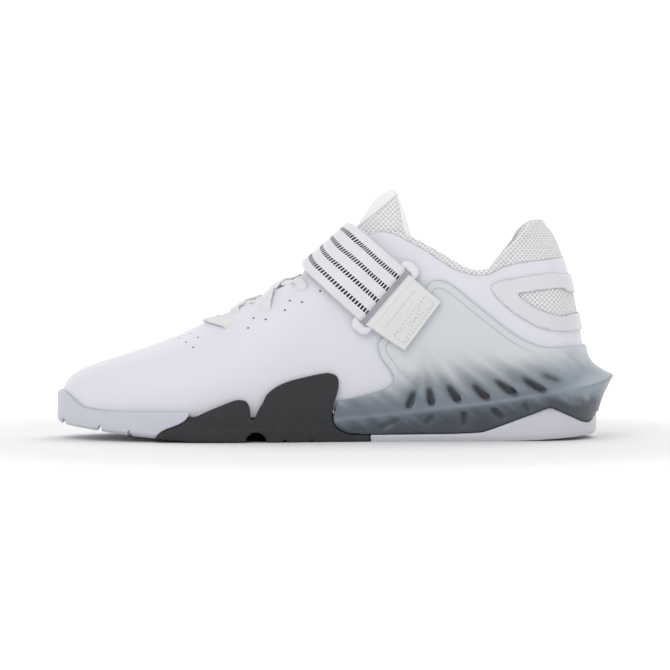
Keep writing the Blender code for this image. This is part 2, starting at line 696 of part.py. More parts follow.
def build_midsole(group, cutters, finish):
    """The dark midsole: side lobes and foot band in front, and the core inside the heel frame."""
    made = tray("midsole", group, finish, lambda share: np.full(np.shape(share), LOBE_HEIGHT * 1.06),
                10, wrap_reach, wall_rows=5)
    joint = shifted(fine_line(TOE_JOINT, SIDE_RIM_HEIGHT), GAP)
    joint = joint[joint[:, 1] < LOBE_LINE[0][1] * LOBE_HEIGHT]
    lobes = fine_line(LOBE_LINE, LOBE_HEIGHT, 1)
    rear = fine_line(REAR_JOINT, LOBE_HEIGHT)
    foot = [[rear[-1, 0], -CUT_MARGIN], [joint[0, 0], -CUT_MARGIN]]
    outline = np.concatenate([joint, lobes, rear[1:], foot])
    cut(made, prism("midsole_prism", outline, cutters), "INTERSECT")
    core = slab("core", cutters, None, lambda share: np.full(np.shape(share), -CUT_MARGIN),
                lambda share: seat_height(share) - GAP, 0.0)
    wedge = shifted(wedge_line(), -GAP)
    core_outline = np.concatenate([
        [[along(0.470), HALF_DEPTH], [along(0.470), wedge[0, 1] + CORE_RELIEF]],
        [[along(0.560), wedge[0, 1] + JOINT_RELIEF]], wedge, [[wedge[-1, 0], HALF_DEPTH]],
    ])
    cut(core, prism("core_prism", core_outline, cutters), "INTERSECT")
    as_cutter(core)
    cut(made, core, "UNION")
    cut(made, flex_notch(cutters), "DIFFERENCE")
    return made


def flex_notch(cutters):
    """An arched groove right across under the joint of the foot, and two small grooves."""
    turn = np.linspace(0, np.pi, 9)
    x = along(0.371) + FLEX_NOTCH_WIDTH / 2 * np.cos(turn)
    z = FLEX_NOTCH_HEIGHT * np.sin(turn)
    arch = np.concatenate([[[x[0], -CUT_MARGIN]], np.stack([x, z], axis=1), [[x[-1], -CUT_MARGIN]]])
    solids = [[np.array([(cx, y, cz) for cx, cz in arch]) for y in (-HALF_DEPTH, HALF_DEPTH)]]
    for share in (0.225, 0.270, 0.315, 0.425, 0.475):
        solids.append(box_sections(float(along(share)), GROOVE_DEPTH * 0.5, GROOVE_WIDTH))
    return joined("flex_notch_cutter", solids, cutters)


def wedge_line():
    """The top of the heel outsole from the side, its flat front then its peak."""
    line = fine_line(WEDGE_LINE, 1.0)
    line[:, 1] = mix(OUTSOLE_THICKNESS, WEDGE_PEAK, line[:, 1])
    return line


def ridge_at(place):
    """Height and reach of the frame's ridge at a place on the loop."""
    share = share_at(strips_at(place)[..., 0])
    rows = np.array(RIDGE_ROWS)
    return (np.interp(share, rows[:, 0], rows[:, 1]) * SPUR_HEIGHT,
            np.interp(share, rows[:, 0], rows[:, 2]) * SPUR_REACH)


def frame_reach(place, z):
    """The frame's outside: a sharp ridge, hollowed above and below, thinning to the flange."""
    height, reach = ridge_at(place)
    top = FLANGE_HEIGHT * 0.56
    above = np.clip((top - z) / np.maximum(top - height, 1e-6), 0, 1) ** 2.6
    below = np.clip(z / np.maximum(height, 1e-6), 0, 1) ** 2.4
    foot = edge_reach(place)
    rim = GAP + FLANGE_WALL
    return np.where(z > height, mix(rim, reach, above), mix(foot, reach, below))


def build_frame(group, cutters, finish):
    """The clear heel frame: a cup with a ridge, ribs and a flange up each side to the strap."""
    height, _ = ridge_at(PLACES)
    share = share_at(strips_at(PLACES)[:, 0])
    low = ground_height(share)
    top = np.full(COLUMNS, FLANGE_HEIGHT * 1.04)
    top = np.minimum(top, 0.97 * strips_at(PLACES)[:, 5])
    levels = [mix(low, height, t) for t in (0.0, 0.45, 0.80, 1.0)]
    levels += [mix(height, top, t) for t in (0.05, 0.14, 0.27, 0.45, 0.70, 1.0)]
    rings = [out_from(PLACES, z, frame_reach(PLACES, z)) for z in levels]
    seat = seat_height(share)
    for t in (1.0, 0.75, 0.5, 0.25, 0.0):
        z = mix(seat, top, t)
        ring = last(PLACES, rise_at_height(PLACES, z), np.full(COLUMNS, GAP))
        ring[:, 2] = z
        rings.append(ring)
    foot = strips_at(PLACES)[:, :3] + out_of(PLACES) * GAP
    foot[:, 2] = low
    rings.append(foot)
    made = stack_rings("heel_frame", rings, group, finish, tube=True)
    flange = fine_line(FLANGE_LINE, FLANGE_HEIGHT, 1)
    rear = shifted(fine_line(REAR_JOINT, LOBE_HEIGHT), -GAP)
    wedge = shifted(wedge_line(), -GAP)
    wedge = wedge[wedge[:, 0] > rear[-1, 0] + JOINT_RELIEF]
    outline = np.concatenate([rear, wedge, flange[::-1]])
    cut(made, prism("frame_prism", outline, cutters), "INTERSECT")
    cut(made, pocket_cutters(cutters), "DIFFERENCE")
    return made


def pocket_cutters(cutters):
    """Egg-shaped cutters lying in the frame's skin on both sides."""
    solids = []
    for side in (INNER, OUTER):
        for a, h, long_half, lean, depth in POCKETS:
            x, z = along(a), h * FLANGE_HEIGHT
            place, _ = side_place(x, z, side)
            skin = out_from(np.array([place]), np.array([z]), frame_reach(np.array([place]), np.array([z])))
            skin = skin[0]
            turn = np.radians(lean)
            long_axis = np.array([np.cos(turn), 0, np.sin(turn)])
            out = np.array([0.0, float(side), 0.0])
            short_axis = np.cross(out, long_axis)
            sections = []
            for t in np.linspace(-1, 1, 4):
                ring_size = np.sqrt(1.06 - t * t)
                corners = [
                    skin + long_axis * t * long_half * FLANGE_HEIGHT
                    + short_axis * np.cos(r) * ring_size * POCKET_HALF_WIDTH
                    + out * np.sin(r) * ring_size * POCKET_DEPTH * depth
                    for r in np.linspace(0, 2 * np.pi, 5, endpoint=False)
                ]
                sections.append(corners)
            solids.append(sections)
    return joined("pocket_cutters", solids, cutters)


def build_outsole(group, cutters, finish):
    """The pale heel outsole: a flat tread that peaks up the side of the heel."""
    share = share_at(strips_at(PLACES)[:, 0])
    low = ground_height(share)
    rings = []
    for t in np.linspace(0, 1, 5):
        z = mix(low, np.full(COLUMNS, WEDGE_PEAK * 1.05), t)
        tuck = 1 - 0.25 * (1 - smooth_step(t, 0.0, 0.15))
        rings.append(out_from(PLACES, z, edge_reach(PLACES) * tuck))
    rings = [spine_of(rings[0]), *rings, spine_of(rings[-1])]
    made = stack_rings("heel_outsole", rings, group, finish)
    wedge = wedge_line()
    rear = fine_line(REAR_JOINT, LOBE_HEIGHT)
    start = rear[-1, 0] + GAP
    wedge = wedge[wedge[:, 0] > start]
    outline = np.concatenate([
        [[start, -CUT_MARGIN], [start, OUTSOLE_THICKNESS]], wedge, [[wedge[-1, 0], -CUT_MARGIN]],
    ])
    cut(made, prism("outsole_prism", outline, cutters), "INTERSECT")
    solids = [box_sections(float(along(s)), GROOVE_DEPTH * 0.5, GROOVE_WIDTH) for s in
              (0.64, 0.70, 0.76, 0.82, 0.88)]
    cut(made, joined("heel_groove_cutters", solids, cutters), "DIFFERENCE")
    return made


def build_insole(group, finish):
    """The insole, inside the upper's wall and resting on the sole."""
    seat = seat_height(share_at(strips_at(PLACES)[:, 0]))
    rings = []
    for level in (0.0, 1.0):
        z = seat + level * INSOLE_THICKNESS
        ring = last(PLACES, rise_at_height(PLACES, z), np.full(COLUMNS, -UPPER_WALL - 5 * GAP))
        ring[:, 2] = z
        rings.append(ring)
    shoulder = rings[-1] - out_of(PLACES) * INSOLE_THICKNESS
    return stack_rings("insole", [spine_of(rings[0]), *rings, shoulder, spine_of(shoulder)], group, finish)


def build_counter(group, cutters, finish):
    """The heel counter overlay, a thin skin over the upper with a long window each side."""
    heights = np.linspace(0.49, 0.785, 3) * COLLAR_HEIGHT
    rings = []
    for off, order in ((GAP, heights), (GAP + COUNTER_WALL, heights[::-1])):
        for z in order:
            rise = rise_at_height(PLACES, np.full(COLUMNS, z))
            rings.append(last(PLACES, rise, np.full(COLUMNS, off)))
    made = stack_rings("heel_counter", rings, group, finish, tube=True)
    outline = fine_line(COUNTER_LINE, COLLAR_HEIGHT, 1)
    cut(made, prism("counter_prism", outline, cutters), "INTERSECT")
    window = fine_line(WINDOW_LINE, COLLAR_HEIGHT, 1)
    cut(made, prism("window_prism", window, cutters), "DIFFERENCE")
    return made


def sheet_normals(grid):
    """Unit normals of a grid of points, from the steps to its neighbours."""
    by_row = np.gradient(grid, axis=0)
    by_column = np.gradient(grid, axis=1)
    normal = np.cross(by_row, by_column)
    return normal / np.maximum(np.linalg.norm(normal, axis=-1, keepdims=True), 1e-12)


def bezier(first, second, third, fourth, share):
    """Points of a cubic curve: shares along the last axis but one."""
    t = np.asarray(share, float)[..., None]
    return (
        first * (1 - t) ** 3 + second * 3 * t * (1 - t) ** 2 + third * 3 * t * t * (1 - t) + fourth * t**3
    )


def tongue_grid(columns=15, arch_rows=5):
    """The tongue's outside: a column up from each place of the opening's edge to the spine."""
    rows = np.array(TONGUE_ROWS)
    fine = np.linspace(0, 1, 800)
    edge_shares = share_at(strips_at(fine)[:, 3])
    end = fine[np.argmax(edge_shares > rows[-1, 0])]
    half = end * (0.5 * np.linspace(0, 1, columns) + 0.5 * np.linspace(0, 1, columns) ** 2)
    places = np.concatenate([2 - half[::-1], half[1:]])
    strips = strips_at(places)
    edge = share_at(strips[:, 3])
    spine = np.zeros((len(places), 3))
    spine[:, 0] = along(spline(rows[:, 0], rows[:, 1], edge))
    spine[:, 2] = spline(rows[:, 0], rows[:, 2], edge) * TONGUE_TIP_HEIGHT
    spine[columns - 1] = spine[columns]
    level = (strips[:, 0:3] - strips[:, 3:6]) * np.array([1.0, 1.0, 0.0])
    handle = level * strips[:, 8:9]
    handle[:, 2] -= strips[:, 9] * (strips[:, 5] - strips[:, 2])
    tuck = TONGUE_TUCK / (3 * np.linalg.norm(handle, axis=1))
    grid = [
        last(places, 1 - tuck * t, -upper_wall(places, 1 - tuck * t) - GAP * 1.8)
        for t in (1.0, 0.5, 0.0)
    ]
    start = grid[-1]
    heading = -handle / np.linalg.norm(handle, axis=1, keepdims=True)
    span = np.linalg.norm(spine - start, axis=1, keepdims=True)
    side = np.sign(start[:, 1:2]) * np.array([0.0, 1.0, 0.0])
    for t in np.linspace(0, 1, arch_rows + 1)[1:]:
        curve = bezier(start, start + heading * span * 0.22, spine + side * span * 0.40, spine,
                       np.full(len(places), t))
        grid.append(curve)
    return np.array(grid)


def solid_sheet(name, top, wall, group, finish, spine=False):
    """A grid of points given a wall on its inner side, as one closed solid."""
    normal = sheet_normals(top)
    if spine:
        normal[-1] = normal[-2] + normal[-2][::-1] * np.array([1.0, -1.0, 1.0])
        normal[-1, :, 1] = 0
        normal[-1] /= np.linalg.norm(normal[-1], axis=1, keepdims=True)
    if normal[-1, :, 2].mean() < 0:
        normal = -normal
    under = top - normal * wall
    rows, columns = top.shape[:2]
    index = np.arange(rows * columns).reshape(rows, columns)
    low = index + rows * columns
    faces = []
    for r in range(rows - 1):
        for c in range(columns - 1):
            faces.append((index[r, c], index[r, c + 1], index[r + 1, c + 1], index[r + 1, c]))
            faces.append((low[r, c], low[r + 1, c], low[r + 1, c + 1], low[r, c + 1]))
    for c in range(columns - 1):
        faces.append((index[0, c], low[0, c], low[0, c + 1], index[0, c + 1]))
        if not spine:
            faces.append((index[-1, c], index[-1, c + 1], low[-1, c + 1], low[-1, c]))
    for r in range(rows - 1):
        faces.append((index[r, 0], index[r + 1, 0], low[r + 1, 0], low[r, 0]))
        faces.append((index[r, -1], low[r, -1], low[r + 1, -1], index[r + 1, -1]))
    points = np.concatenate([top.reshape(-1, 3), under.reshape(-1, 3)])
    return mesh_object(name, points, faces, group, finish)


def build_tongue(group, finish):
    return solid_sheet("tongue", tongue_grid(), TONGUE_WALL, group, finish, spine=True)


def edge_point(table, v):
    """A point between a table's front and rear rows, as side view (x, z) in metres."""
    front, rear = np.array(table[0]), np.array(table[1])
    point = mix(front, rear, v)
    return float(along(point[0])), point[1] * STRAP_CROWN_HEIGHT


def side_run(start, end, side, offs, steps):
    """Points on one side of the shoe on a straight line of the side view, offs above the upper."""
    shares = np.linspace(0, 1, steps)
    x, z = mix(start[0], end[0], shares), mix(start[1], end[1], shares)
    return on_side(x, z, side, offs)


def arch_over(edge, before, crown, side, steps):
    """Points from the opening's edge over to the crown, leaving the upper on its own line."""
    heading = edge - before
    heading = heading / np.linalg.norm(heading)
    span = np.linalg.norm(crown - edge)
    level = np.array([0.0, float(side), 0.0])
    shares = np.linspace(0, 1, steps)
    return bezier(edge, edge + heading * span * 0.33, crown + level * span * 0.42, crown, shares)


def band_grid(columns=5):
    """The strap's under layer, column by column: outer anchor, crown, then down to the ring."""
    half = STRAP_WALL / 2
    grid = []
    for v in np.linspace(0, 1, columns):
        runs = {}
        for side in (OUTER, INNER):
            edge, ring = edge_point(STRAP_EDGE, v), edge_point(STRAP_RING, v)
            lift = STRAP_LIFT * (1 - smooth_step(np.linspace(0, 1, 7), 0.30, 1.0)) + GAP + half
            run = side_run(edge, ring, side, lift, 7)
            x, z = edge_point(STRAP_CROWN, v)
            slope = np.array(edge_point(STRAP_CROWN, 1)) - np.array(edge_point(STRAP_CROWN, 0))
            slope = slope / np.linalg.norm(slope)
            depth = 1.5 * STRAP_WALL + GAP
            crown = np.array([x + slope[1] * depth, 0.0, z - slope[0] * depth])
            arch = arch_over(run[0], run[1], crown, side, 7)
            runs[side] = np.concatenate([run[::-1], arch[1:]])
        ring, anchor = edge_point(STRAP_RING, v), edge_point(STRAP_ANCHOR, v)
        rise = smooth_step(np.linspace(0, 1, 5), 0.0, 0.5) * (FLANGE_WALL + GAP * 2) + GAP + half
        tail = side_run(ring, anchor, OUTER, rise, 5)
        grid.append(np.concatenate([tail[::-1][:-1], runs[OUTER], runs[INNER][::-1][1:]]))
    return np.array(grid).transpose(1, 0, 2)


def folded(under, wall, gaps, rod):
    """Carries a band round a rod at its last row and back above itself; returns centre and normal."""
    normal = sheet_normals(under)
    outward = normal[-1].mean(axis=0)
    if outward[1] > 0:
        normal = -normal
    heading = under[-1] - under[-2]
    heading = heading / np.linalg.norm(heading, axis=-1, keepdims=True)
    radius = rod / 2 + GAP + wall / 2
    centre = under[-1] + normal[-1] * radius
    turns = np.linspace(0, np.pi, 7)[1:-1]
    fold = [centre + (heading * np.sin(a) - normal[-1] * np.cos(a)) * radius for a in turns]
    fold_normal = [-heading * np.sin(a) + normal[-1] * np.cos(a) for a in turns]
    over = under[::-1][: len(gaps)] + normal[::-1][: len(gaps)] * gaps[:, None, None]
    points = np.concatenate([under, fold, over])
    normals = np.concatenate([normal, fold_normal, -normal[::-1][: len(gaps)]])
    return points, normals


def band_solid(name, points, normals, wall, group, finish):
    """A closed band of constant wall about its middle surface."""
    sections = [
        np.concatenate([row + side * wall / 2, (row - side * wall / 2)[::-1]])
        for row, side in zip(points, normals)
    ]
    return stack_strips(name, sections, group, finish)


def build_strap(group, finish):
    """The strap: an under layer from the outer side, round the ring and back over itself."""
    under = band_grid()
    back = len(under) - 10
    shares = np.linspace(0, 1, back)
    loose = 2 * (RING_ROD / 2 + GAP + STRAP_WALL / 2)
    gaps = mix(loose, STRAP_WALL + GAP, smooth_step(shares, 0.0, 0.35))
    points, normals = folded(under, STRAP_WALL, gaps, RING_ROD)
    return band_solid("strap", points, normals, STRAP_WALL, group, finish)


def ring_direction():
    """The strap's heading at the ring in the side view, and the bars' direction."""
    front, rear = np.array(edge_point(STRAP_RING, 0)), np.array(edge_point(STRAP_RING, 1))
    bar = (rear - front) / np.linalg.norm(rear - front)
    return np.array([bar[1], -bar[0]]), bar, front, rear


RING_OFF = GAP + STRAP_WALL + GAP + RING_ROD / 2


def build_ring(group, finish):
    """The loop that joins the strap to the keeper: a rod bent to a rounded rectangle."""
    heading, bar, front, rear = ring_direction()
    centre = (front + rear) / 2 + heading * RING_PITCH / 2
    half_long = np.linalg.norm(rear - front) / 2 + RING_OVERHANG
    half_wide = RING_PITCH / 2
    corner = half_wide * 0.75
    path = []
    for u, w, start in ((1, 1, 0), (-1, 1, 90), (-1, -1, 180), (1, -1, 270)):
        middle = centre + bar * u * (half_long - corner) + heading * w * (half_wide - corner)
        for turn in np.radians(np.linspace(start, start + 90, 3)):
            path.append(middle + (bar * np.cos(turn) + heading * np.sin(turn)) * corner)
    path = np.array(path)
    dense = []
    for here, there in zip(path, np.roll(path, -1, axis=0)):
        parts = max(1, int(np.linalg.norm(there - here) / (2.3 * RING_ROD)))
        dense += [mix(here, there, t) for t in np.arange(parts) / parts]
    dense = np.array(dense)
    points = on_side(dense[:, 0], dense[:, 1], INNER, RING_OFF)
    out = side_normal(dense[:, 0], dense[:, 1], INNER)
    run = np.roll(points, -1, axis=0) - np.roll(points, 1, axis=0)
    across = np.cross(run, out)
    across /= np.linalg.norm(across, axis=1, keepdims=True)
    out = np.cross(across, run)
    out /= np.linalg.norm(out, axis=1, keepdims=True)
    turns = np.linspace(0, 2 * np.pi, 7, endpoint=False)
    rings = [points + (out * np.cos(a) + across * np.sin(a)) * RING_ROD / 2 for a in turns]
    return stack_rings("strap_ring", rings, group, finish, tube=True)


def build_keeper(group, finish):
    """The webbing that holds the ring: up from the flange, round the ring and back down."""
    heading, bar, front, rear = ring_direction()
    half = KEEPER_WALL / 2
    base = RING_OFF - RING_ROD / 2 - GAP - half
    grid = []
    for v in np.linspace(0.02, 0.98, 5):
        top = mix(front, rear, v) + heading * RING_PITCH
        foot = edge_point(KEEPER_FOOT, v)
        shares = np.linspace(0, 1, 8)
        offs = mix(FLANGE_WALL + 3 * GAP + half, base, smooth_step(shares, 0.62, 1.0))
        grid.append(side_run(foot, top, INNER, offs, 8))
    under = np.array(grid).transpose(1, 0, 2)
    gaps = mix(2 * (RING_ROD / 2 + GAP + half), KEEPER_WALL + GAP,
               smooth_step(np.linspace(0, 1, len(under)), 0.0, 0.5))
    points, normals = folded(under, KEEPER_WALL, gaps, RING_ROD)
    return band_solid("keeper_webbing", points, normals, KEEPER_WALL, group, finish)


def lace_ground():
    """The surface the laces lie on: the upper's outside by the throat, and the tongue."""
    places = np.concatenate([np.linspace(1.35, 2.0, 90), np.linspace(0.0, 0.65, 90)[1:]])
    rises = np.linspace(0.45, 1.0, 26)
    skin = last(places[None, :], rises[:, None], 0.0)
    tongue = tongue_grid(31, 12)
    points, faces = [], []
    for grid in (skin, tongue):
        start = sum(len(p) for p in points)
        rows, columns = grid.shape[:2]
        index = start + np.arange(rows * columns).reshape(rows, columns)
        points.append(grid.reshape(-1, 3))
        faces += [
            (int(index[r, c]), int(index[r, c + 1]), int(index[r + 1, c + 1]), int(index[r + 1, c]))
            for r in range(rows - 1) for c in range(columns - 1)
        ]
    return BVHTree.FromPolygons([tuple(p) for p in np.concatenate(points)], faces)


def height_of(ground, x, y):
    hit, normal, _, _ = ground.ray_cast((float(x), float(y), 0.3), (0.0, 0.0, -1.0))
    up = 1 if normal.z > 0 else -1
    return hit.z, np.array(normal) * up


def lace_band(ground, start, end, bow, lift, steps=17):
    """Sections of a flat lace laid from one eyelet to another, clear of all that is under it."""
    t = np.linspace(0, 1, steps)
    x = mix(start[0], end[0], t) - bow * np.sin(np.pi * t)
    y = mix(start[1], end[1], t)
    hits = [height_of(ground, a, b) for a, b in zip(x, y)]
    z = np.array([h[0] for h in hits])
    normals = np.array([h[1] for h in hits])
    for _ in range(8):
        middle = (z[:-2] + z[2:]) / 2
        z[1:-1] = np.maximum(z[1:-1], middle)
        normals[1:-1] = (normals[:-2] + normals[1:-1] + normals[2:]) / 3
    normals /= np.linalg.norm(normals, axis=1, keepdims=True)
    path = np.stack([x, y, z], axis=1) + normals * lift
    run = np.gradient(path, axis=0)
    across = np.cross(normals, run)
    across /= np.linalg.norm(across, axis=1, keepdims=True)
    for _ in range(2):
        need = np.zeros(steps)
        for i in range(steps):
            for edge in (-0.5, 0.5):
                point = path[i] + across[i] * edge * LACE_WIDTH
                floor, _ = height_of(ground, point[0], point[1])
                need[i] = max(need[i], floor + lift * 0.8 - point[2])
        need = np.maximum(need, np.concatenate([need[1:], need[-1:]]))
        need = np.maximum(need, np.concatenate([need[:1], need[:-1]]))
        path[:, 2] += need
    top = np.cross(run, across)
    top /= np.linalg.norm(top, axis=1, keepdims=True)
    top *= np.sign(top[:, 2:3])
    left, right = path - across * LACE_WIDTH / 2, path + across * LACE_WIDTH / 2
    sections = np.stack([left, right, right + top * LACE_WALL, left + top * LACE_WALL], axis=1)
    return sections


def build_laces(group, cutters, finish):
    """The flat laces in one piece: a bar at the front and three crossings up to the strap."""
    ground = lace_ground()
    holes = {side: [on_side(x, z, side) for x, z in eyelet_points()] for side in (INNER, OUTER)}
    lift = 3 * GAP
    made = stack_strips(
        "laces", lace_band(ground, holes[INNER][0], holes[OUTER][0], 0.010, lift), group, finish)
    for row in range(len(EYELETS) - 1):
        for side, extra in ((INNER, 0.0), (OUTER, GAP)):
            start, end = holes[side][row], holes[-side][row + 1]
            strand = stack_strips(
                f"lace_strand_{row}_{'inner' if side == INNER else 'outer'}",
                lace_band(ground, start, end, 0.0055, lift + extra), cutters)
            cut(made, as_cutter(strand), "UNION")
    return made


def main():
    for old in list(bpy.data.objects):
        bpy.data.objects.remove(old, do_unlink=True)
    shoe = collection("Weightlifting shoe")
    cutters = collection("Cutters")
    white = material("White synthetic", (0.86, 0.86, 0.89), 0.55)
    pale = material("Pale rubber", (0.74, 0.75, 0.80), 0.60)
    dark = material("Charcoal foam", (0.045, 0.045, 0.050), 0.70)
    clear = material("Frosted frame", (0.42, 0.47, 0.52), 0.30)
    rubber = material("White rubber", (0.82, 0.82, 0.86), 0.50)
    lining = material("Pale lining", (0.80, 0.80, 0.80), 0.90)
    build_upper(shoe, cutters, white)
    build_toe_sole(shoe, cutters, pale)
    build_midsole(shoe, cutters, dark)
    build_frame(shoe, cutters, clear)
    build_outsole(shoe, cutters, rubber)
    build_insole(shoe, lining)
    build_tongue(shoe, lining)
    build_counter(shoe, cutters, white)
    build_strap(shoe, white)
    build_ring(shoe, rubber)
    build_keeper(shoe, rubber)
    build_laces(shoe, cutters, white)


main()
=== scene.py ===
# %% [markdown]
# # A right weightlifting shoe
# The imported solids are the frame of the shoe: they give its place and size. This lesson dresses them.
# Each piece of the real shoe gets a finer surface and its own finish, worked out from the same sizes.

# %% Load the frame
import functools
import math

import bpy
import bmesh
import numpy as np
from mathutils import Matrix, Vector


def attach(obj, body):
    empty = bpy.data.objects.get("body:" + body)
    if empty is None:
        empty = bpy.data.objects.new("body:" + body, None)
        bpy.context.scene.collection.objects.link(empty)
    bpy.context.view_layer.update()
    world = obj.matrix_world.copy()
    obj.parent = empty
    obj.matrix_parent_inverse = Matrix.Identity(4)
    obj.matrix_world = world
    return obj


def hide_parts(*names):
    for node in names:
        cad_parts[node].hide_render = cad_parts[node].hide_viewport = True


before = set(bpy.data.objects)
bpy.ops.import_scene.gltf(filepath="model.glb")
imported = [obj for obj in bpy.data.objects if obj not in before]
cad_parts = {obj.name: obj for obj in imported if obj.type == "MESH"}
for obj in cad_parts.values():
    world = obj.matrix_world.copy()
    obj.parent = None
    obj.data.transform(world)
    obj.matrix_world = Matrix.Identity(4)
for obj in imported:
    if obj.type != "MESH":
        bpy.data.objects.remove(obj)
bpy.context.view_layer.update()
print("nodes:", sorted(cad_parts))

# %% [markdown]
# ## The camera
# The photograph is taken square to the inner side, from just above the floor, with a long lens.
# A long lens far away keeps the toe and heel at the same scale. An orthographic camera would be close,
# but it would lose the slight view on to the top of the sole that the real picture has.

# %% Camera
PICTURE_PIXELS = 670
MILLIMETRE_PER_PIXEL = 0.5386
LENS, SENSOR = 180.0, 36.0
CAMERA_RISE = math.radians(2.0)
TARGET = np.array([-0.0010, -0.004, 0.0552])


def placed(name, data):
    """A new object for the data, linked to the scene."""
    made = bpy.data.objects.new(name, data)
    bpy.context.scene.collection.objects.link(made)
    return made


span = PICTURE_PIXELS * MILLIMETRE_PER_PIXEL / 1000
distance = span * LENS / SENSOR
camera_data = bpy.data.cameras.new("Camera")
camera_data.lens, camera_data.sensor_width = LENS, SENSOR
camera = placed("Camera", camera_data)
camera.location = TARGET + distance * np.array([0, -math.cos(CAMERA_RISE), math.sin(CAMERA_RISE)])
camera.rotation_euler = (math.pi / 2 - CAMERA_RISE, 0, 0)
bpy.context.scene.camera = camera
print(f"camera {distance:.2f} m away, {math.degrees(CAMERA_RISE):.0f} degrees up")

# %% [markdown]
# ## Floor and light
# The shoe stands on a white paper sweep, which runs back and curves up, so that no horizon shows.
# Soft light comes from all round, from a bright world, and two large lamps give the sides slow shading.

# %% Floor
SWEEP_HALF, SWEEP_FRONT, SWEEP_BACK, SWEEP_RADIUS, SWEEP_TOP = 5.0, -5.0, 2.4, 0.8, 5.0
SWEEP_STEPS = 24


def sweep():
    """A sheet that is flat, then turns up through a quarter circle: (y, z) lines carried across."""
    turn = np.linspace(0, np.pi / 2, SWEEP_STEPS)
    y = np.concatenate([[SWEEP_FRONT], SWEEP_BACK + SWEEP_RADIUS * np.sin(turn), [SWEEP_BACK + SWEEP_RADIUS]])
    z = np.concatenate([[0], SWEEP_RADIUS * (1 - np.cos(turn)), [SWEEP_TOP]])
    left = np.stack([np.full(len(y), -SWEEP_HALF), y, z], axis=1)
    right = left * np.array([-1, 1, 1])
    i = np.arange(len(y) - 1)
    faces = np.stack([i, i + len(y), i + len(y) + 1, i + 1], axis=1)
    mesh = bpy.data.meshes.new("Sweep")
    mesh.from_pydata(np.concatenate([left, right]).tolist(), [], faces.tolist())
    mesh.polygons.foreach_set("use_smooth", np.ones(len(mesh.polygons), bool))
    return placed("Sweep", mesh)


floor = sweep()
print("sweep:", len(floor.data.polygons), "faces")

# %% [markdown]
# ### White paper
# Paper that only reflects would turn grey towards the edges of the picture. This one glows a little
# away from the shoe. Shader nodes are joined with two helpers: one fills a socket with a number, a
# colour or a link, and one makes a node and fills its inputs by name.

# %% Paper
GLOW, GLOW_START, GLOW_FULL = 0.42, 0.18, 0.40
PAPER, WHITE = (0.90, 0.90, 0.90), (1.0, 1.0, 1.0)


def plug(socket, value):
    """Puts a number, a colour or another node's output into a socket."""
    value = getattr(value, "socket", value)
    if isinstance(value, bpy.types.NodeSocket):
        socket.id_data.links.new(value, socket)
    else:
        socket.default_value = (*value, 1.0) if socket.type == "RGBA" else value


def add_node(tree, kind, inputs, **settings):
    """A new shader node: its settings by name, and what goes into each of its inputs."""
    made = tree.nodes.new("ShaderNode" + kind)
    for name, value in settings.items():
        setattr(made, name, value)
    for label, value in inputs.items():
        plug(made.inputs[label], value)
    return made


def simple_material(name, colour, roughness):
    """A Principled material of one colour and one roughness."""
    made = bpy.data.materials.new(name)
    made.use_nodes = True
    shader = made.node_tree.nodes["Principled BSDF"]
    plug(shader.inputs["Base Color"], colour)
    plug(shader.inputs["Roughness"], roughness)
    return made


def glowing_paper():
    """White paper whose glow fades in with the distance from the shoe."""
    made = simple_material("White sweep", PAPER, 0.95)
    tree = made.node_tree
    place = add_node(tree, "TexCoord", {}).outputs["Object"]
    reach = add_node(tree, "VectorMath", {0: place}, operation="LENGTH").outputs["Value"]
    glow = add_node(tree, "MapRange", {"Value": reach, "From Min": GLOW_START, "From Max": GLOW_FULL,
                                       "To Max": GLOW}, interpolation_type="SMOOTHSTEP")
    shader = tree.nodes["Principled BSDF"]
    plug(shader.inputs["Emission Strength"], glow.outputs["Result"])
    plug(shader.inputs["Emission Color"], WHITE)
    return made


floor.data.materials.append(glowing_paper())
print("paper glows from", GLOW_START, "to", GLOW_FULL, "m")

# %% [markdown]
# ### Lamps and world
# Most of the light comes from a bright world, as from a white tent. Two large square lamps, one in
# front and one behind, give the sides their slow shading and soft shadows.

# %% Lamps and world
LAMP_AIM = (0, 0, 0.05)
LAMPS = (("Key lamp", (-0.7, -1.5, 1.6), 1.4, 13.0), ("Back lamp", (0.6, 0.7, 1.5), 1.0, 6.0))
WORLD_STRENGTH = 0.62


def soft_lamp(name, place, size, power):
    """A square lamp at place, turned to face the shoe."""
    data = bpy.data.lights.new(name, "AREA")
    data.energy, data.size, data.shape = power, size, "SQUARE"
    lamp = placed(name, data)
    lamp.location = place
    lamp.rotation_euler = (Vector(LAMP_AIM) - Vector(place)).to_track_quat("-Z", "Y").to_euler()


for lamp in LAMPS:
    soft_lamp(*lamp)
world = bpy.data.worlds.new("Studio")
world.use_nodes = True
plug(world.node_tree.nodes["Background"].inputs["Color"], WHITE)
plug(world.node_tree.nodes["Background"].inputs["Strength"], WORLD_STRENGTH)
bpy.context.scene.world = world
bpy.context.scene.view_settings.view_transform = "Standard"
print(len(LAMPS), "lamps, and a world of strength", WORLD_STRENGTH)

# %% [markdown]
# ## The shape of the foot
# A shoe is made on a last, a solid foot form. Here the last is a loop of curves. Each curve climbs from
# the edge of the sole to the opening, and a short table gives it at a few stations along the shoe.
# Every other piece lies on this surface, so they fit each other by construction.

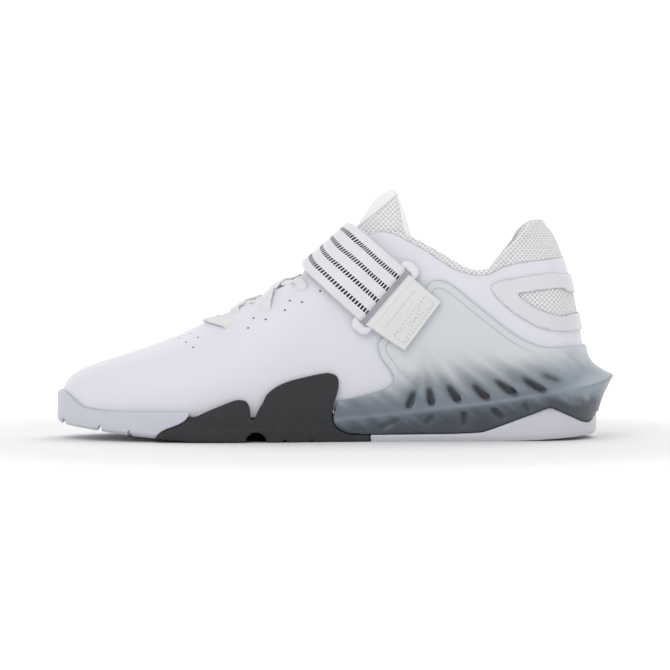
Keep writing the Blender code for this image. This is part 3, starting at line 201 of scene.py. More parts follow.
# %% Sizes of the last
SHOE_LENGTH = 0.3005
BALL_WIDTH, HEEL_WIDTH = 0.096, 0.066
INSTEP_HEIGHT, COLLAR_HEIGHT = 0.110, 0.1155
OUTER_ANKLE_DROP = 0.003
UPPER_WALL, COLLAR_PAD = 0.0022, 0.0070
PAD_START, PAD_FULL = 0.65, 0.76
FOREFOOT_STACK, HEEL_LIFT, SEAT_SPRING = 0.013, 0.015, 0.006
TOE_LIFT, HEEL_BEVEL, TOE_BEND, HEEL_BEND = 0.0085, 0.0026, 0.30, 0.84
TOE_EDGE, SOLE_EDGE, HEEL_EDGE = 0.0027, 0.0058, 0.0046
SPUR_REACH, SPUR_HEIGHT = 0.0148, 0.0339
UPPER_LENGTH = SHOE_LENGTH - TOE_EDGE - SPUR_REACH
GAP = 0.0003
INNER, OUTER = -1, 1
X_TOE = TOE_EDGE - SHOE_LENGTH / 2

LAST_COLUMNS = (
    "along", "inner", "outer", "opening_along", "opening_inner", "opening_outer",
    "height", "flare", "rise", "crown", "dip",
)
LAST_ROWS = (
    (0.000, -0.147, -0.147, 0.270, 0.000, 0.000, 0.562, 0.03, 0.58, 0.70, 0.60),
    (0.018, -0.442, 0.190, 0.272, -0.084, 0.084, 0.563, 0.03, 0.58, 0.70, 0.57),
    (0.065, -0.653, 0.474, 0.277, -0.168, 0.168, 0.567, 0.03, 0.56, 0.70, 0.50),
    (0.140, -0.832, 0.705, 0.289, -0.242, 0.242, 0.579, 0.03, 0.52, 0.68, 0.40),
    (0.220, -0.926, 0.874, 0.315, -0.284, 0.284, 0.607, 0.03, 0.48, 0.65, 0.30),
    (0.300, -0.958, 0.979, 0.362, -0.326, 0.326, 0.665, 0.03, 0.45, 0.62, 0.23),
    (0.380, -0.916, 1.032, 0.428, -0.382, 0.382, 0.748, 0.02, 0.44, 0.60, 0.19),
    (0.480, -0.833, 1.028, 0.505, -0.469, 0.469, 0.852, 0.02, 0.44, 0.56, 0.19),
    (0.580, -0.820, 1.035, 0.578, -0.598, 0.598, 0.980, 0.03, 0.43, 0.45, 0.21),
    (0.625, -0.840, 1.045, 0.614, -0.680, 0.690, 1.005, 0.03, 0.42, 0.35, 0.25),
    (0.670, -0.868, 1.054, 0.655, -0.759, 0.785, 0.975, 0.04, 0.40, 0.20, 0.30),
    (0.715, -0.900, 1.060, 0.709, -0.870, 0.890, 0.882, 0.05, 0.40, 0.10, 0.34),
    (0.760, -0.937, 1.070, 0.764, -0.955, 0.985, 0.786, 0.05, 0.40, 0.00, 0.36),
    (0.810, -0.955, 1.060, 0.805, -0.960, 0.990, 0.775, 0.05, 0.40, 0.00, 0.36),
    (0.855, -0.969, 1.047, 0.846, -0.885, 0.916, 0.868, 0.03, 0.39, 0.12, 0.32),
    (0.905, -0.945, 1.005, 0.878, -0.770, 0.800, 0.959, 0.00, 0.38, 0.24, 0.24),
    (0.955, -0.800, 0.850, 0.901, -0.570, 0.600, 1.001, -0.05, 0.38, 0.40, 0.12),
    (0.988, -0.460, 0.510, 0.912, -0.270, 0.300, 1.001, -0.09, 0.38, 0.46, 0.05),
    (1.000, 0.030, 0.030, 0.914, 0.016, 0.016, 1.001, -0.10, 0.38, 0.47, 0.04),
)

print("the upper is", round(UPPER_LENGTH, 4), "m long")

# %% [markdown]
# ### Curves and shares
# A share runs from 0 at the toe to 1 at the heel. Heights and widths are smooth curves of it: either a
# soft step from one value to another, or a spline through the rows of a table.

# %% Curves and shares


def unit(vectors):
    """Each vector divided by its own length."""
    return vectors / np.maximum(np.linalg.norm(vectors, axis=-1, keepdims=True), 1e-12)


def run_length(points):
    """Length of a path up to each of its points: a running sum of the steps between them."""
    return np.concatenate([[0], np.cumsum(np.linalg.norm(np.diff(points, axis=0), axis=-1))])


def smooth_step(value, start, end):
    """0 before start, 1 after end, and 3s^2 - 2s^3 of the share s between them."""
    share = np.clip((np.asarray(value, float) - start) / (end - start), 0, 1)
    return share * share * (3 - 2 * share)


def mix(first, second, share):
    """A value on the straight way from the first to the second."""
    return first + (second - first) * share


def along(share):
    """The X of a share of the upper's length."""
    return X_TOE + np.asarray(share, float) * UPPER_LENGTH


def share_at(x):
    """The share of the upper's length at X."""
    return (np.asarray(x, float) - X_TOE) / UPPER_LENGTH


def spline(knots, values, at):
    """A cubic through each knot, with the slope that its neighbours give it."""
    knots, values, at = (np.asarray(v, float) for v in (knots, values, at))
    slopes = np.gradient(values, knots, axis=0)
    i = np.clip(np.searchsorted(knots, at, side="right") - 1, 0, len(knots) - 2)
    step = knots[i + 1] - knots[i]
    u = (at - knots[i]) / step
    if values.ndim > 1:
        step, u = step[..., None], u[..., None]
    return (
        values[i] * (1 + 2 * u) * (1 - u) ** 2 + slopes[i] * step * u * (1 - u) ** 2
        + values[i + 1] * u * u * (3 - 2 * u) - slopes[i + 1] * step * u * u * (1 - u)
    )


print("half way of a soft step:", smooth_step(0.5, 0, 1))

# %% [markdown]
# ### Widths and heights along the shoe
# The foot is widest at the ball and narrower at the heel. The seat, where the upper meets the sole, is
# sprung at the toe and lifted at the heel, and the underside curves up at both ends.

# %% Widths and heights


def half_width(share):
    """Half the foot's width: the ball's, then softly the heel's."""
    return mix(BALL_WIDTH, HEEL_WIDTH, smooth_step(share, 0.40, 0.85)) / 2


def top_height(share):
    """The height that the table's heights are shares of: the instep's, then the collar's."""
    return mix(INSTEP_HEIGHT, COLLAR_HEIGHT, smooth_step(share, 0.58, 0.90))


def seat_height(share):
    """Where the upper meets the sole: flat at the ball, sprung at the toe, lifted at the heel."""
    spring = SEAT_SPRING * (1 - np.clip(np.asarray(share, float) / 0.30, 0, 1)) ** 2
    return FOREFOOT_STACK + spring + HEEL_LIFT * smooth_step(share, 0.36, 0.86)


def ground_height(share):
    """The sole's underside: it curves up at the toe, and a little at the heel."""
    share = np.asarray(share, float)
    toe = TOE_LIFT * np.clip((TOE_BEND - share) / TOE_BEND, 0, 1.1) ** 1.5
    heel = HEEL_BEVEL * np.clip((share - HEEL_BEND) / (1 - HEEL_BEND), 0, 1.1) ** 1.5
    return toe + heel


print("the seat rises from", seat_height(0.4).round(4), "to", seat_height(1.0).round(4), "m")

# %% [markdown]
# ### The strips of the last
# The table's rows become strips that run round the shoe, each with its foot, its edge and its shape.
# A place of 0 is the toe, 1 the heel, and 2 the toe again. The spline between strips is cyclic.

# %% Strips of the last


def strip_table():
    """The table in metres, round the shoe: toe, inner side, heel, outer side and toe again."""
    rows = np.array(LAST_ROWS, float)
    column = {name: rows[:, i] for i, name in enumerate(LAST_COLUMNS)}

    def strips(side):
        inner = side == INNER
        foot_y = column["inner" if inner else "outer"] * half_width(column["along"])
        edge_y = column["opening_inner" if inner else "opening_outer"]
        edge_y = edge_y * half_width(column["opening_along"])
        drop = 0 if inner else OUTER_ANKLE_DROP * smooth_step(column["opening_along"], 0.60, 0.72)
        drop = drop * (1 - smooth_step(column["opening_along"], 0.82, 0.90))
        foot = np.stack([along(column["along"]), foot_y, seat_height(column["along"])], axis=1)
        edge_z = column["height"] * top_height(column["opening_along"]) - drop
        edge = np.stack([along(column["opening_along"]), edge_y, edge_z], axis=1)
        flare = column["flare"] * half_width(column["along"])
        shape = np.stack([flare, column["rise"], column["crown"], column["dip"]], axis=1)
        return np.concatenate([foot, edge, shape], axis=1)

    inner, outer = strips(INNER), strips(OUTER)
    middle = (inner + outer) / 2
    steps = np.linalg.norm(np.diff(inner[:, :3], axis=0), axis=1)
    steps = steps + np.linalg.norm(np.diff(outer[:, :3], axis=0), axis=1)
    steps = steps + np.linalg.norm(np.diff(middle[:, 3:6], axis=0), axis=1)
    place = np.concatenate([[0], np.cumsum(steps)]) / steps.sum()
    loop = np.concatenate([inner, outer[-2::-1]])
    places = np.concatenate([place, 2 - place[-2::-1]])
    wrapped = np.concatenate([loop[-4:-1], loop, loop[1:4]])
    wrapped_places = np.concatenate([places[-4:-1] - 2, places, places[1:4] + 2])
    return wrapped_places, wrapped


LOOP_PLACES, LOOP_ROWS = strip_table()


def strips_at(place):
    """The strip's numbers at a place round the loop, by the cyclic spline."""
    return spline(LOOP_PLACES, LOOP_ROWS, np.mod(place, 2))


print("strips round the last:", len(LAST_ROWS) * 2 - 2)

# %% [markdown]
# ### The skin of the last
# Each strip is one cubic curve from the sole's edge to the opening. Its two handles set how much the
# side bulges and how flat the instep lies. Moving the skin along its normal gives every other layer.

# %% Skin of the last
SLOPE_REACH = 0.004


def out_of(place):
    """The level direction out of the shoe at the feather edge."""
    run = unit(strips_at(place + SLOPE_REACH)[..., :2] - strips_at(place - SLOPE_REACH)[..., :2])
    return np.stack([run[..., 1], -run[..., 0], np.zeros(run.shape[:-1])], axis=-1)


def bezier(first, second, third, fourth, share):
    """A cubic curve by its end points and two handles."""
    t = np.asarray(share, float)[..., None]
    return (first * (1 - t) ** 3 + second * 3 * t * (1 - t) ** 2
            + third * 3 * t * t * (1 - t) + fourth * t**3)


def bare_last(place, rise):
    """The last's skin: a cubic up each strip, from the feather edge to the opening."""
    place, rise = np.broadcast_arrays(np.asarray(place, float), np.asarray(rise, float))
    row = strips_at(place)
    foot, edge = row[..., 0:3], row[..., 3:6]
    flare, lift, crown, dip = (row[..., i, None] for i in range(6, 10))
    height = (edge - foot)[..., 2:3]
    up = np.array([0.0, 0.0, 1.0])
    level = (foot - edge) * np.array([1.0, 1.0, 0.0])
    lower = foot + out_of(place) * flare + up * lift * height
    upper = edge + level * crown - up * dip * height
    return bezier(foot, lower, upper, edge, rise)


def last(place, rise, off=0.0):
    """The skin moved along its own normal: off above 0 is outside the upper."""
    place, rise = np.broadcast_arrays(np.asarray(place, float), np.asarray(rise, float))
    along_loop = bare_last(place + SLOPE_REACH, rise) - bare_last(place - SLOPE_REACH, rise)
    low, high = np.clip(rise - SLOPE_REACH, 0, 1), np.clip(rise + SLOPE_REACH, 0, 1)
    normal = unit(np.cross(along_loop, bare_last(place, high) - bare_last(place, low)))
    return bare_last(place, rise) + normal * np.asarray(off, float)[..., None]


def rise_at_height(place, z, samples=90):
    """The rise at which each strip reaches height z, read between evenly spaced samples."""
    place, z = np.broadcast_arrays(np.asarray(place, float), np.asarray(z, float))
    rises = np.linspace(0, 1, samples)
    heights = bare_last(place[..., None], rises)[..., 2]
    below = np.clip((heights < z[..., None]).sum(axis=-1), 1, samples - 1)
    low = np.take_along_axis(heights, below[..., None] - 1, axis=-1)[..., 0]
    high = np.take_along_axis(heights, below[..., None], axis=-1)[..., 0]
    part = np.clip((z - low) / np.maximum(high - low, 1e-9), 0, 1)
    return np.clip((below - 1 + part) / (samples - 1), 0, 1)


def even_places(columns):
    """Places round the loop, closer at the toe and the heel, where it turns most."""
    even = np.linspace(0, 1, columns // 2 + 1)
    close = even - 0.055 * np.sin(2 * np.pi * even) / np.pi
    return np.concatenate([close, 2 - close[-2:0:-1]])


print("last runs from x", along(0.0).round(4), "to", along(1.0).round(4))

# %% [markdown]
# ## From arrays to meshes
# A surface is a grid of points. These helpers join neighbouring points into quads, all at once, and put
# them in a mesh. Attributes carry a number for each point, such as its distance from a seam.

# %% Grids to meshes


def quads(rows, columns, wrap_rows=False, wrap_columns=False):
    """Corner numbers of every quad of a grid, as an array of four columns."""
    index = np.arange(rows * columns).reshape(rows, columns)
    if wrap_rows:
        index = np.vstack([index, index[:1]])
    if wrap_columns:
        index = np.hstack([index, index[:, :1]])
    return np.stack([index[:-1, :-1], index[:-1, 1:], index[1:, 1:], index[1:, :-1]], -1).reshape(-1, 4)


def mended(mesh, mend):
    """Runs one mend on the mesh's faces and edges, then turns its faces out."""
    work = bmesh.new()
    work.from_mesh(mesh)
    mend(work)
    bmesh.ops.recalc_face_normals(work, faces=work.faces)
    work.to_mesh(mesh)
    work.free()


def merge_doubles(work, reach=1e-6):
    """Merges points that lie together, and drops edges of no length."""
    bmesh.ops.remove_doubles(work, verts=work.verts, dist=reach)
    bmesh.ops.dissolve_degenerate(work, edges=work.edges, dist=reach)


def close_ends(work):
    """Puts one face over each open end."""
    bmesh.ops.holes_fill(work, edges=[e for e in work.edges if e.is_boundary], sides=0)


def mesh_piece(name, points, faces, mend=merge_doubles):
    """A new object from arrays, mended, its faces turned out."""
    mesh = bpy.data.meshes.new(name)
    points = np.asarray(points, float).reshape(-1, 3)
    faces = np.asarray(faces)
    mesh.vertices.add(len(points))
    mesh.vertices.foreach_set("co", points.ravel())
    mesh.loops.add(faces.size)
    mesh.loops.foreach_set("vertex_index", faces.ravel())
    mesh.polygons.add(len(faces))
    mesh.polygons.foreach_set("loop_start", np.arange(0, faces.size, faces.shape[1]))
    mesh.polygons.foreach_set("use_smooth", np.ones(len(mesh.polygons), bool))
    mesh.update(calc_edges=True)
    mended(mesh, mend)
    return placed(name, mesh)


def ring_piece(name, rings, tube=False):
    """A skin through a stack of closed rings."""
    rings = np.asarray(rings, float)
    return mesh_piece(name, rings, quads(*rings.shape[:2], wrap_rows=tube, wrap_columns=True))


def band_piece(name, sections):
    """A skin through closed sections, or through each of many runs of them, with both ends capped."""
    rows, corners = sections.shape[-3:-1]
    starts = np.arange(0, sections.size // 3, rows * corners)
    faces = quads(rows, corners, wrap_columns=True)[None] + starts[:, None, None]
    return mesh_piece(name, sections, faces.reshape(-1, 4), mend=close_ends)


print("a grid of 3 by 4 points has", len(quads(3, 4)), "quads")

# %% [markdown]
# ### Carving and moulding
# A Boolean modifier cuts one closed piece with another, as a maker trims a moulding. A Remesh modifier
# with a few Smooth passes rebuilds it on an even grid, so that its cut edges turn soft. Both are applied
# at once, because the next cut needs the finished mesh.

# %% Carving and moulding


def baked(piece):
    """The piece's mesh with its modifiers applied, in place of the old one."""
    graph = bpy.context.evaluated_depsgraph_get()
    mesh = bpy.data.meshes.new_from_object(piece.evaluated_get(graph))
    piece.modifiers.clear()
    piece.data = mesh
    return piece


def carve(piece, cutter, operation):
    """Cuts the piece with a cutter, or keeps what they share, and removes the cutter."""
    step = piece.modifiers.new("Carve", "BOOLEAN")
    step.operation, step.solver, step.object = operation, "EXACT", cutter
    baked(piece)
    bpy.data.objects.remove(cutter, do_unlink=True)
    return piece


def moulded(piece, grain, passes):
    """Rebuilds the piece on an even grid and softens it, as a mould's edges are soft."""
    step = piece.modifiers.new("Remesh", "REMESH")
    step.mode, step.voxel_size, step.use_smooth_shade = "VOXEL", grain, True
    soft = piece.modifiers.new("Soften", "SMOOTH")
    soft.factor, soft.iterations = 0.5, passes
    return baked(piece)


print("tools for cutting:", carve.__name__, "and", moulded.__name__)

# %% [markdown]
# ### Numbers on a mesh
# A material can follow a seam or a weave only where the mesh tells it the way. A named attribute gives
# one number for each point, and a UV map gives two, here in metres. Every piece is settled at the end.

# %% Numbers on a mesh


def points_of(piece):
    """The piece's points as an array of x, y and z."""
    mesh = piece.data
    points = np.empty(len(mesh.vertices) * 3)
    mesh.vertices.foreach_get("co", points)
    return points.reshape(-1, 3)


def give_numbers(piece, **numbers):
    """One number a point under each name, read by the materials as an attribute."""
    for name, values in numbers.items():
        made = piece.data.attributes.new(name, "FLOAT", "POINT")
        made.data.foreach_set("value", np.asarray(values, np.float32).ravel())


def give_flat_map(piece, flat):
    """The UV map of the fabric from two numbers a point, in metres, so that weaves keep their scale."""
    mesh = piece.data
    corners = np.empty(len(mesh.loops), int)
    mesh.loops.foreach_get("vertex_index", corners)
    layer = mesh.uv_layers.new(name="fabric")
    layer.data.foreach_set("uv", np.asarray(flat, np.float32)[corners].ravel())


def settle(piece, slot, material, *nodes):
    """Finishes a piece: material, the body it rides on and the nodes that it stands for. The slot is not
    used.
    """
    piece.data.materials.clear()
    piece.data.materials.append(material)
    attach(piece, "root")
    if nodes:
        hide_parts(*nodes)
    print(f"{piece.name}: {len(piece.data.polygons)} faces")


print("tools for finishing:", give_numbers.__name__, give_flat_map.__name__, settle.__name__)

# %% [markdown]
# ## Finding a point from its side view
# The photograph shows the shoe from the side, so seams and straps are easiest to place by x and height.
# A coarse net of the last gives a first guess. Newton's method then slides the guess along the skin
# until its x and height match.

# %% Side view to surface
NET_PLACES, NET_RISES = np.linspace(0.02, 0.98, 120), np.linspace(0, 1, 46)
NEWTON_REACH = 0.002


def side_place(x, z, side, tries=5):
    """Loop place and rise of the skin's point seen at (x, z): nearest of a net, then Newton steps."""
    x, z = np.broadcast_arrays(np.asarray(x, float), np.asarray(z, float))
    shape, x, z = x.shape, x.ravel(), z.ravel()
    places = NET_PLACES if side == INNER else 2 - NET_PLACES
    net = bare_last(places[:, None], NET_RISES[None, :])
    far = (net[None, ..., 0] - x[:, None, None]) ** 2 + (net[None, ..., 2] - z[:, None, None]) ** 2
    i, j = np.unravel_index(far.reshape(len(x), -1).argmin(axis=1), net.shape[:2])
    place, rise = places[i], np.clip(NET_RISES[j], 0.01, 0.99)
    for _ in range(tries):
        here = bare_last(place, rise)
        by_place, by_rise = ((bare_last(place + p, rise + r) - bare_last(place - p, rise - r))
                             / (2 * NEWTON_REACH) for p, r in ((NEWTON_REACH, 0), (0, NEWTON_REACH)))
        miss_x, miss_z = x - here[:, 0], z - here[:, 2]
        area = by_place[:, 0] * by_rise[:, 2] - by_rise[:, 0] * by_place[:, 2]
        area = np.where(np.abs(area) < 1e-9, 1e-9, area)
        place = place + np.clip((miss_x * by_rise[:, 2] - by_rise[:, 0] * miss_z) / area, -0.02, 0.02)
        rise = rise + np.clip((by_place[:, 0] * miss_z - miss_x * by_place[:, 2]) / area, -0.04, 0.04)
        rise = np.clip(rise, 0, 1)
    return place.reshape(shape), rise.reshape(shape)


def on_side(x, z, side, off=0.0):
    """The point seen at (x, z) from the side, off outside the upper."""
    place, rise = side_place(x, z, side)
    return last(place, rise, off)


print("a point of the inner side:", on_side(0.0, 0.06, INNER).round(4))

# %% [markdown]
# ### Lines in the side view
# Seams and outlines are tables of shares, smoothed by a spline. A line can be shifted to leave a gap,
# and the distance from it, with a sign for each side of it, draws a seam in a material.

# %% Lines in the side view


def side_line(points, height, per=6):
    """A side outline's shares as (x, z) in metres, smoothed through its points."""
    points = np.array(points, float)
    at = np.linspace(0, len(points) - 1, (len(points) - 1) * per + 1)
    line = spline(np.arange(len(points)), points, at)
    return np.stack([along(line[:, 0]), line[:, 1] * height], axis=1)


def shifted(line, gap):
    """An (x, z) line moved sideways by gap, to its right as it runs."""
    run = unit(np.gradient(line, axis=0))
    return line + np.stack([run[:, 1], -run[:, 0]], axis=1) * gap


def line_distance(points, line):
    """Signed distance in the side view from points to an (x, z) line, above 0 on its left."""
    flat = points[:, [0, 2]]
    start, run = line[:-1], np.diff(line, axis=0)
    best = np.full(len(flat), 1e9)
    sign = np.ones(len(flat))
    for here, step in zip(start, run):
        off = flat - here
        share = np.clip(off @ step / (step @ step), 0, 1)
        gap = off - share[:, None] * step
        far = np.hypot(gap[:, 0], gap[:, 1])
        left = np.sign(step[0] * off[:, 1] - step[1] * off[:, 0])
        nearer = far < best
        best = np.where(nearer, far, best)
        sign = np.where(nearer, left, sign)
    return best * sign


print("a line of two points, smoothed:", len(side_line(((0, 0), (1, 1)), 1.0)), "points")

# %% [markdown]
# ## Finishes
# Each material is a Principled shader with a few noise or pattern nodes before it. Much of the work is
# sums on numbers that change over a surface. Written as Math nodes they are long, so a small class lets
# plain operators make the nodes.

# %% Sums as nodes


class Signal:
    """A number that changes over a surface. Plain operators on it add Math nodes to its tree."""

    def __init__(self, socket):
        self.socket = socket

    def maths(self, operation, *others):
        """One Math node on this number and the others."""
        inputs = dict(enumerate((self, *others)))
        return Signal(add_node(self.socket.id_data, "Math", inputs, operation=operation).outputs[0])

    def rest(self, whole=1.0):
        """What is left of a whole once this is taken off it."""
        inputs = {0: whole, 1: self}
        return Signal(add_node(self.socket.id_data, "Math", inputs, operation="SUBTRACT").outputs[0])

    def ramp(self, start, end):
        """0 below start and 1 above end, smooth between."""
        inputs = {"Value": self, "From Min": start, "From Max": end}
        return Signal(add_node(self.socket.id_data, "MapRange", inputs,
                               interpolation_type="SMOOTHSTEP").outputs["Result"])

    def between(self, centre, half, soft):
        """1 within half of centre, falling to 0 over a soft edge."""
        return abs(self - centre).ramp(half, half + soft).rest()

    def blend(self, first, second):
        """The first colour where this is 0, and the second where it is 1."""
        inputs = {0: self, 6: first, 7: second}
        return Signal(add_node(self.socket.id_data, "Mix", inputs, data_type="RGBA").outputs[2])


OPERATIONS = {"add": "ADD", "sub": "SUBTRACT", "mul": "MULTIPLY", "truediv": "DIVIDE", "pow": "POWER",
              "lt": "LESS_THAN", "gt": "GREATER_THAN", "abs": "ABSOLUTE"}
for word, operation in OPERATIONS.items():
    setattr(Signal, f"__{word}__", functools.partialmethod(Signal.maths, operation))
print("operators of a signal:", *OPERATIONS)

# %% [markdown]
# ### Shared patterns
# Grain and the holes of the mesh are shader groups with named inputs, so that one group serves every
# material, each with its own values. The holes are rows of cells, every other row shifted by half a
# step, and a high power of the distance from a cell's centre gives a long hole with round corners.

# %% Shared patterns
HOLE_ROUNDNESS = 2.4


def new_group(name, inputs, outputs):
    """An empty shader group with named number sockets, and its input and output nodes."""
    group = bpy.data.node_groups.new(name, "ShaderNodeTree")
    group.interface.new_socket("Vector", in_out="INPUT", socket_type="NodeSocketVector")
    for label, start in inputs.items():
        made = group.interface.new_socket(label, in_out="INPUT", socket_type="NodeSocketFloat")
        made.default_value = start
    for label in outputs:
        group.interface.new_socket(label, in_out="OUTPUT", socket_type="NodeSocketFloat")
    return group, group.nodes.new("NodeGroupInput").outputs, group.nodes.new("NodeGroupOutput").inputs


def grain_group():
    """Fine even grain: a noise value and a slow mottle, both 0 to 1."""
    group, given, out = new_group(
        "Fine grain", {"Grain per metre": 1500.0, "Mottle per metre": 40.0}, ("Grain", "Mottle"))
    for label, detail in (("Grain", 3.0), ("Mottle", 2.0)):
        inputs = {"Vector": given["Vector"], "Scale": given[label + " per metre"], "Detail": detail}
        plug(out[label], add_node(group, "TexNoise", inputs).outputs["Fac"])
    return group


def holes_group():
    """Rows of long holes, every other row shifted by half a step: 1 in a hole, 0 between."""
    shape = {"Pitch": 0.0026, "Row pitch": 0.0013, "Length share": 0.25, "Height share": 0.32}
    group, given, out = new_group("Staggered holes", shape, ("Hole", "Depth"))
    split = add_node(group, "SeparateXYZ", {0: given["Vector"]}).outputs
    row = Signal(split["Y"]) / given["Row pitch"]
    odd = abs(row.maths("FLOOR")).maths("MODULO", 2.0)
    column = Signal(split["X"]) / given["Pitch"] + odd * 0.5
    reach = [abs((cell.maths("FRACT") - 0.5) / given[label]) ** HOLE_ROUNDNESS
             for cell, label in ((column, "Length share"), (row, "Height share"))]
    reach = reach[0] + reach[1]
    plug(out["Hole"], reach.rest(1.6).ramp(0.0, 1.0))
    plug(out["Depth"], reach.rest(2.2).ramp(0.0, 2.0))
    return group


GRAIN, HOLES = grain_group(), holes_group()
print("groups:", GRAIN.name, "and", HOLES.name)

# %% [markdown]
# ### A finish under way
# Each material starts as a Principled shader. A small class holds it with its tree, and gives short
# ways to add a group, to read an attribute, to set a socket and to lay one bump over another.

# %% A finish under way


class Finish:
    """A material under way: its tree, its Principled shader and short ways to add nodes."""

    def __init__(self, name, colour, roughness):
        self.material = simple_material(name, colour, roughness)
        self.tree = self.material.node_tree
        self.shader = self.tree.nodes["Principled BSDF"]
        self.place = add_node(self.tree, "TexCoord", {}).outputs["Object"]
        self.height = None

    def group(self, group, inputs, vector=None):
        """A shader group in this material, and its outputs by name."""
        made = add_node(self.tree, "Group", {}, node_tree=group)
        for label, value in {"Vector": vector or self.place, **inputs}.items():
            plug(made.inputs[label], value)
        return {out.name: Signal(out) for out in made.outputs}

    def attribute(self, name):
        """A number that the mesh carries under this name."""
        return Signal(add_node(self.tree, "Attribute", {}, attribute_name=name).outputs["Fac"])

    def base(self):
        """The colour that the shader has so far."""
        return self.shader.inputs["Base Color"].links[0].from_socket

    def set(self, **values):
        """Sets the shader's sockets by name, with _ for each space."""
        for label, value in values.items():
            plug(self.shader.inputs[label.replace("_", " ")], value)

    def bump(self, height, distance):
        """Adds a layer of relief over those there already."""
        made = add_node(self.tree, "Bump", {"Distance": distance, "Height": height})
        made.inputs["Strength"].default_value = 1.0
        if self.height is not None:
            plug(made.inputs["Normal"], self.height)
        self.height = made.outputs["Normal"]
        self.set(Normal=self.height)


print("a finish holds a material, its tree and its shader")

# %% [markdown]
# ### Plain finishes
# Rubber, lining and plastic share one recipe: a fine grain as relief, and a faint slow mottle in the
# colour, because a perfectly even colour looks like no real material.

# %% Plain finishes


def grained(name, colour, roughness, grain=1500.0, relief=0.00006, mottle=0.03, coat=0.0):
    """A plain moulded or coated surface: fine bump, and a faint mottle in its colour."""
    made = Finish(name, colour, roughness)
    noise = made.group(GRAIN, {"Grain per metre": grain})
    darker = tuple(c * (1 - mottle) for c in colour)
    made.set(Base_Color=noise["Mottle"].blend(darker, colour), Coat_Weight=coat, Coat_Roughness=0.35)
    made.bump(noise["Grain"], relief)
    return made


rubber_finish = grained("White rubber dressed", (0.66, 0.66, 0.72), 0.48, grain=900.0, coat=0.08)
toe_finish = grained("Pale rubber dressed", (0.62, 0.63, 0.70), 0.52, grain=900.0, coat=0.05)
lining_finish = grained("Pale lining dressed", (0.70, 0.70, 0.72), 0.9, grain=2200.0, relief=0.0002)
ring_finish = grained("White plastic dressed", (0.80, 0.80, 0.85), 0.32, grain=400.0, relief=0.00002,
                      coat=0.25)
print("plain finishes:", 4)

# %% [markdown]
# ## The sole pieces
# The real sole is moulded in a few pieces that lock together along curved joints. Each starts as a
# blank that runs all round the shoe. A side outline, carried right across, trims it with a Boolean.
# An even remesh and a few smoothing passes then give the soft edges that a mould leaves.

# %% Sizes of the sole
RIM_WALL, TOE_RIM_HEIGHT, SIDE_RIM_HEIGHT = 0.0022, 0.0262, 0.0160
LOBE_HEIGHT, LEDGE_HEIGHT, LEDGE_STEP = 0.0362, 0.0068, 0.0007
OUTSOLE_THICKNESS, WEDGE_PEAK = 0.0036, 0.0178
GROOVE_WIDTH, GROOVE_DEPTH = 0.0016, 0.0030
FLANGE_HEIGHT, FLANGE_WALL = 0.0852, 0.0017
POCKET_DEPTH, POCKET_HALF_WIDTH = 0.0046, 0.0021
BELOW_FLOOR, PAST_HEEL, PAST_TOE = -0.02, 1.08, -0.10
SOLE_COLUMNS = 300
SOLE_PLACES = even_places(SOLE_COLUMNS)
REAR_JOINT = (
    (0.512, 0.365), (0.515, 0.268), (0.523, 0.186), (0.537, 0.130), (0.550, 0.108), (0.567, 0.101),
    (0.583, 0.100),
)

print("height of the lobes:", LOBE_HEIGHT, "m")

# %% [markdown]
# ### Shapes that the sole pieces share
# A tray is a blank for a sole piece: rings of points climb the outside, cross the rim and go down
# against the upper. Its underside closes on a line along the middle of the foot.

# %% Shapes that the sole pieces share


def foot_share(place):
    """The share of the length at which a place of the loop stands."""
    return share_at(strips_at(place)[..., 0])


def edge_reach(place):
    """How far the sole stands out from the feather edge: least at the toe, most at the ball."""
    share = foot_share(place)
    reach = mix(TOE_EDGE, SOLE_EDGE, smooth_step(share, 0.00, 0.16))
    return mix(reach, HEEL_EDGE, smooth_step(share, 0.90, 1.00))


def out_from(place, z, reach):
    """A point at height z, out from the last, or out from the feather edge where z is below it."""
    place, z = np.broadcast_arrays(place, z)
    point = bare_last(place, rise_at_height(place, z))
    point = point + out_of(place) * np.asarray(reach, float)[..., None]
    point[..., 2] = z
    return point


def spine_of(ring):
    """The ring drawn in to one line along the middle of the shoe, to close a blank."""
    pair = ring[(-np.arange(len(ring))) % len(ring)]
    line = (ring + pair) / 2
    centre = (line[:, 0].min() + line[:, 0].max()) / 2
    line[:, 0] = centre + (line[:, 0] - centre) * 0.86
    return line


def lining_rings(heights):
    """Rings against the upper, a gap outside it, at the heights given."""
    places = np.broadcast_to(SOLE_PLACES, heights.shape)
    return last(places, rise_at_height(places, heights), GAP)


def tray(name, top, rows, reach_at, wall_rows=14):
    """A blank all round: outside, rim, inner wall against the upper, and its floor."""
    share = foot_share(SOLE_PLACES)
    low, seat = ground_height(share), seat_height(share) - GAP
    high = np.maximum(top(share), seat + 2 * GAP)
    levels = mix(low, high, np.linspace(0, 1, rows)[:, None])
    outside = out_from(SOLE_PLACES, levels, reach_at(SOLE_PLACES, levels))
    inside = lining_rings(mix(seat + GAP, high, np.linspace(1, 0, wall_rows)[:, None]))
    inside[0, :, 2], inside[-1, :, 2] = high, seat
    return ring_piece(name, np.concatenate([
        [spine_of(outside[0])], outside, inside, [spine_of(inside[-1])]]))


print("columns round the sole:", SOLE_COLUMNS)

# %% [markdown]
# ### Cutters
# A prism is a side outline carried right across the shoe. A groove is a small one under the sole.

# %% Cutters
HALF_DEPTH, BOX_DEPTH = 0.09, 0.01
WEDGE_LINE = (
    (0.583, 0.000), (0.680, 0.020), (0.775, 0.060), (0.807, 0.176), (0.860, 0.579), (0.889, 0.791),
    (0.914, 0.982), (0.920, 1.000), (0.926, 0.982), (0.962, 0.652), (0.984, 0.447), (0.999, 0.432),
    (1.018, 0.732), (1.080, 1.000),
)


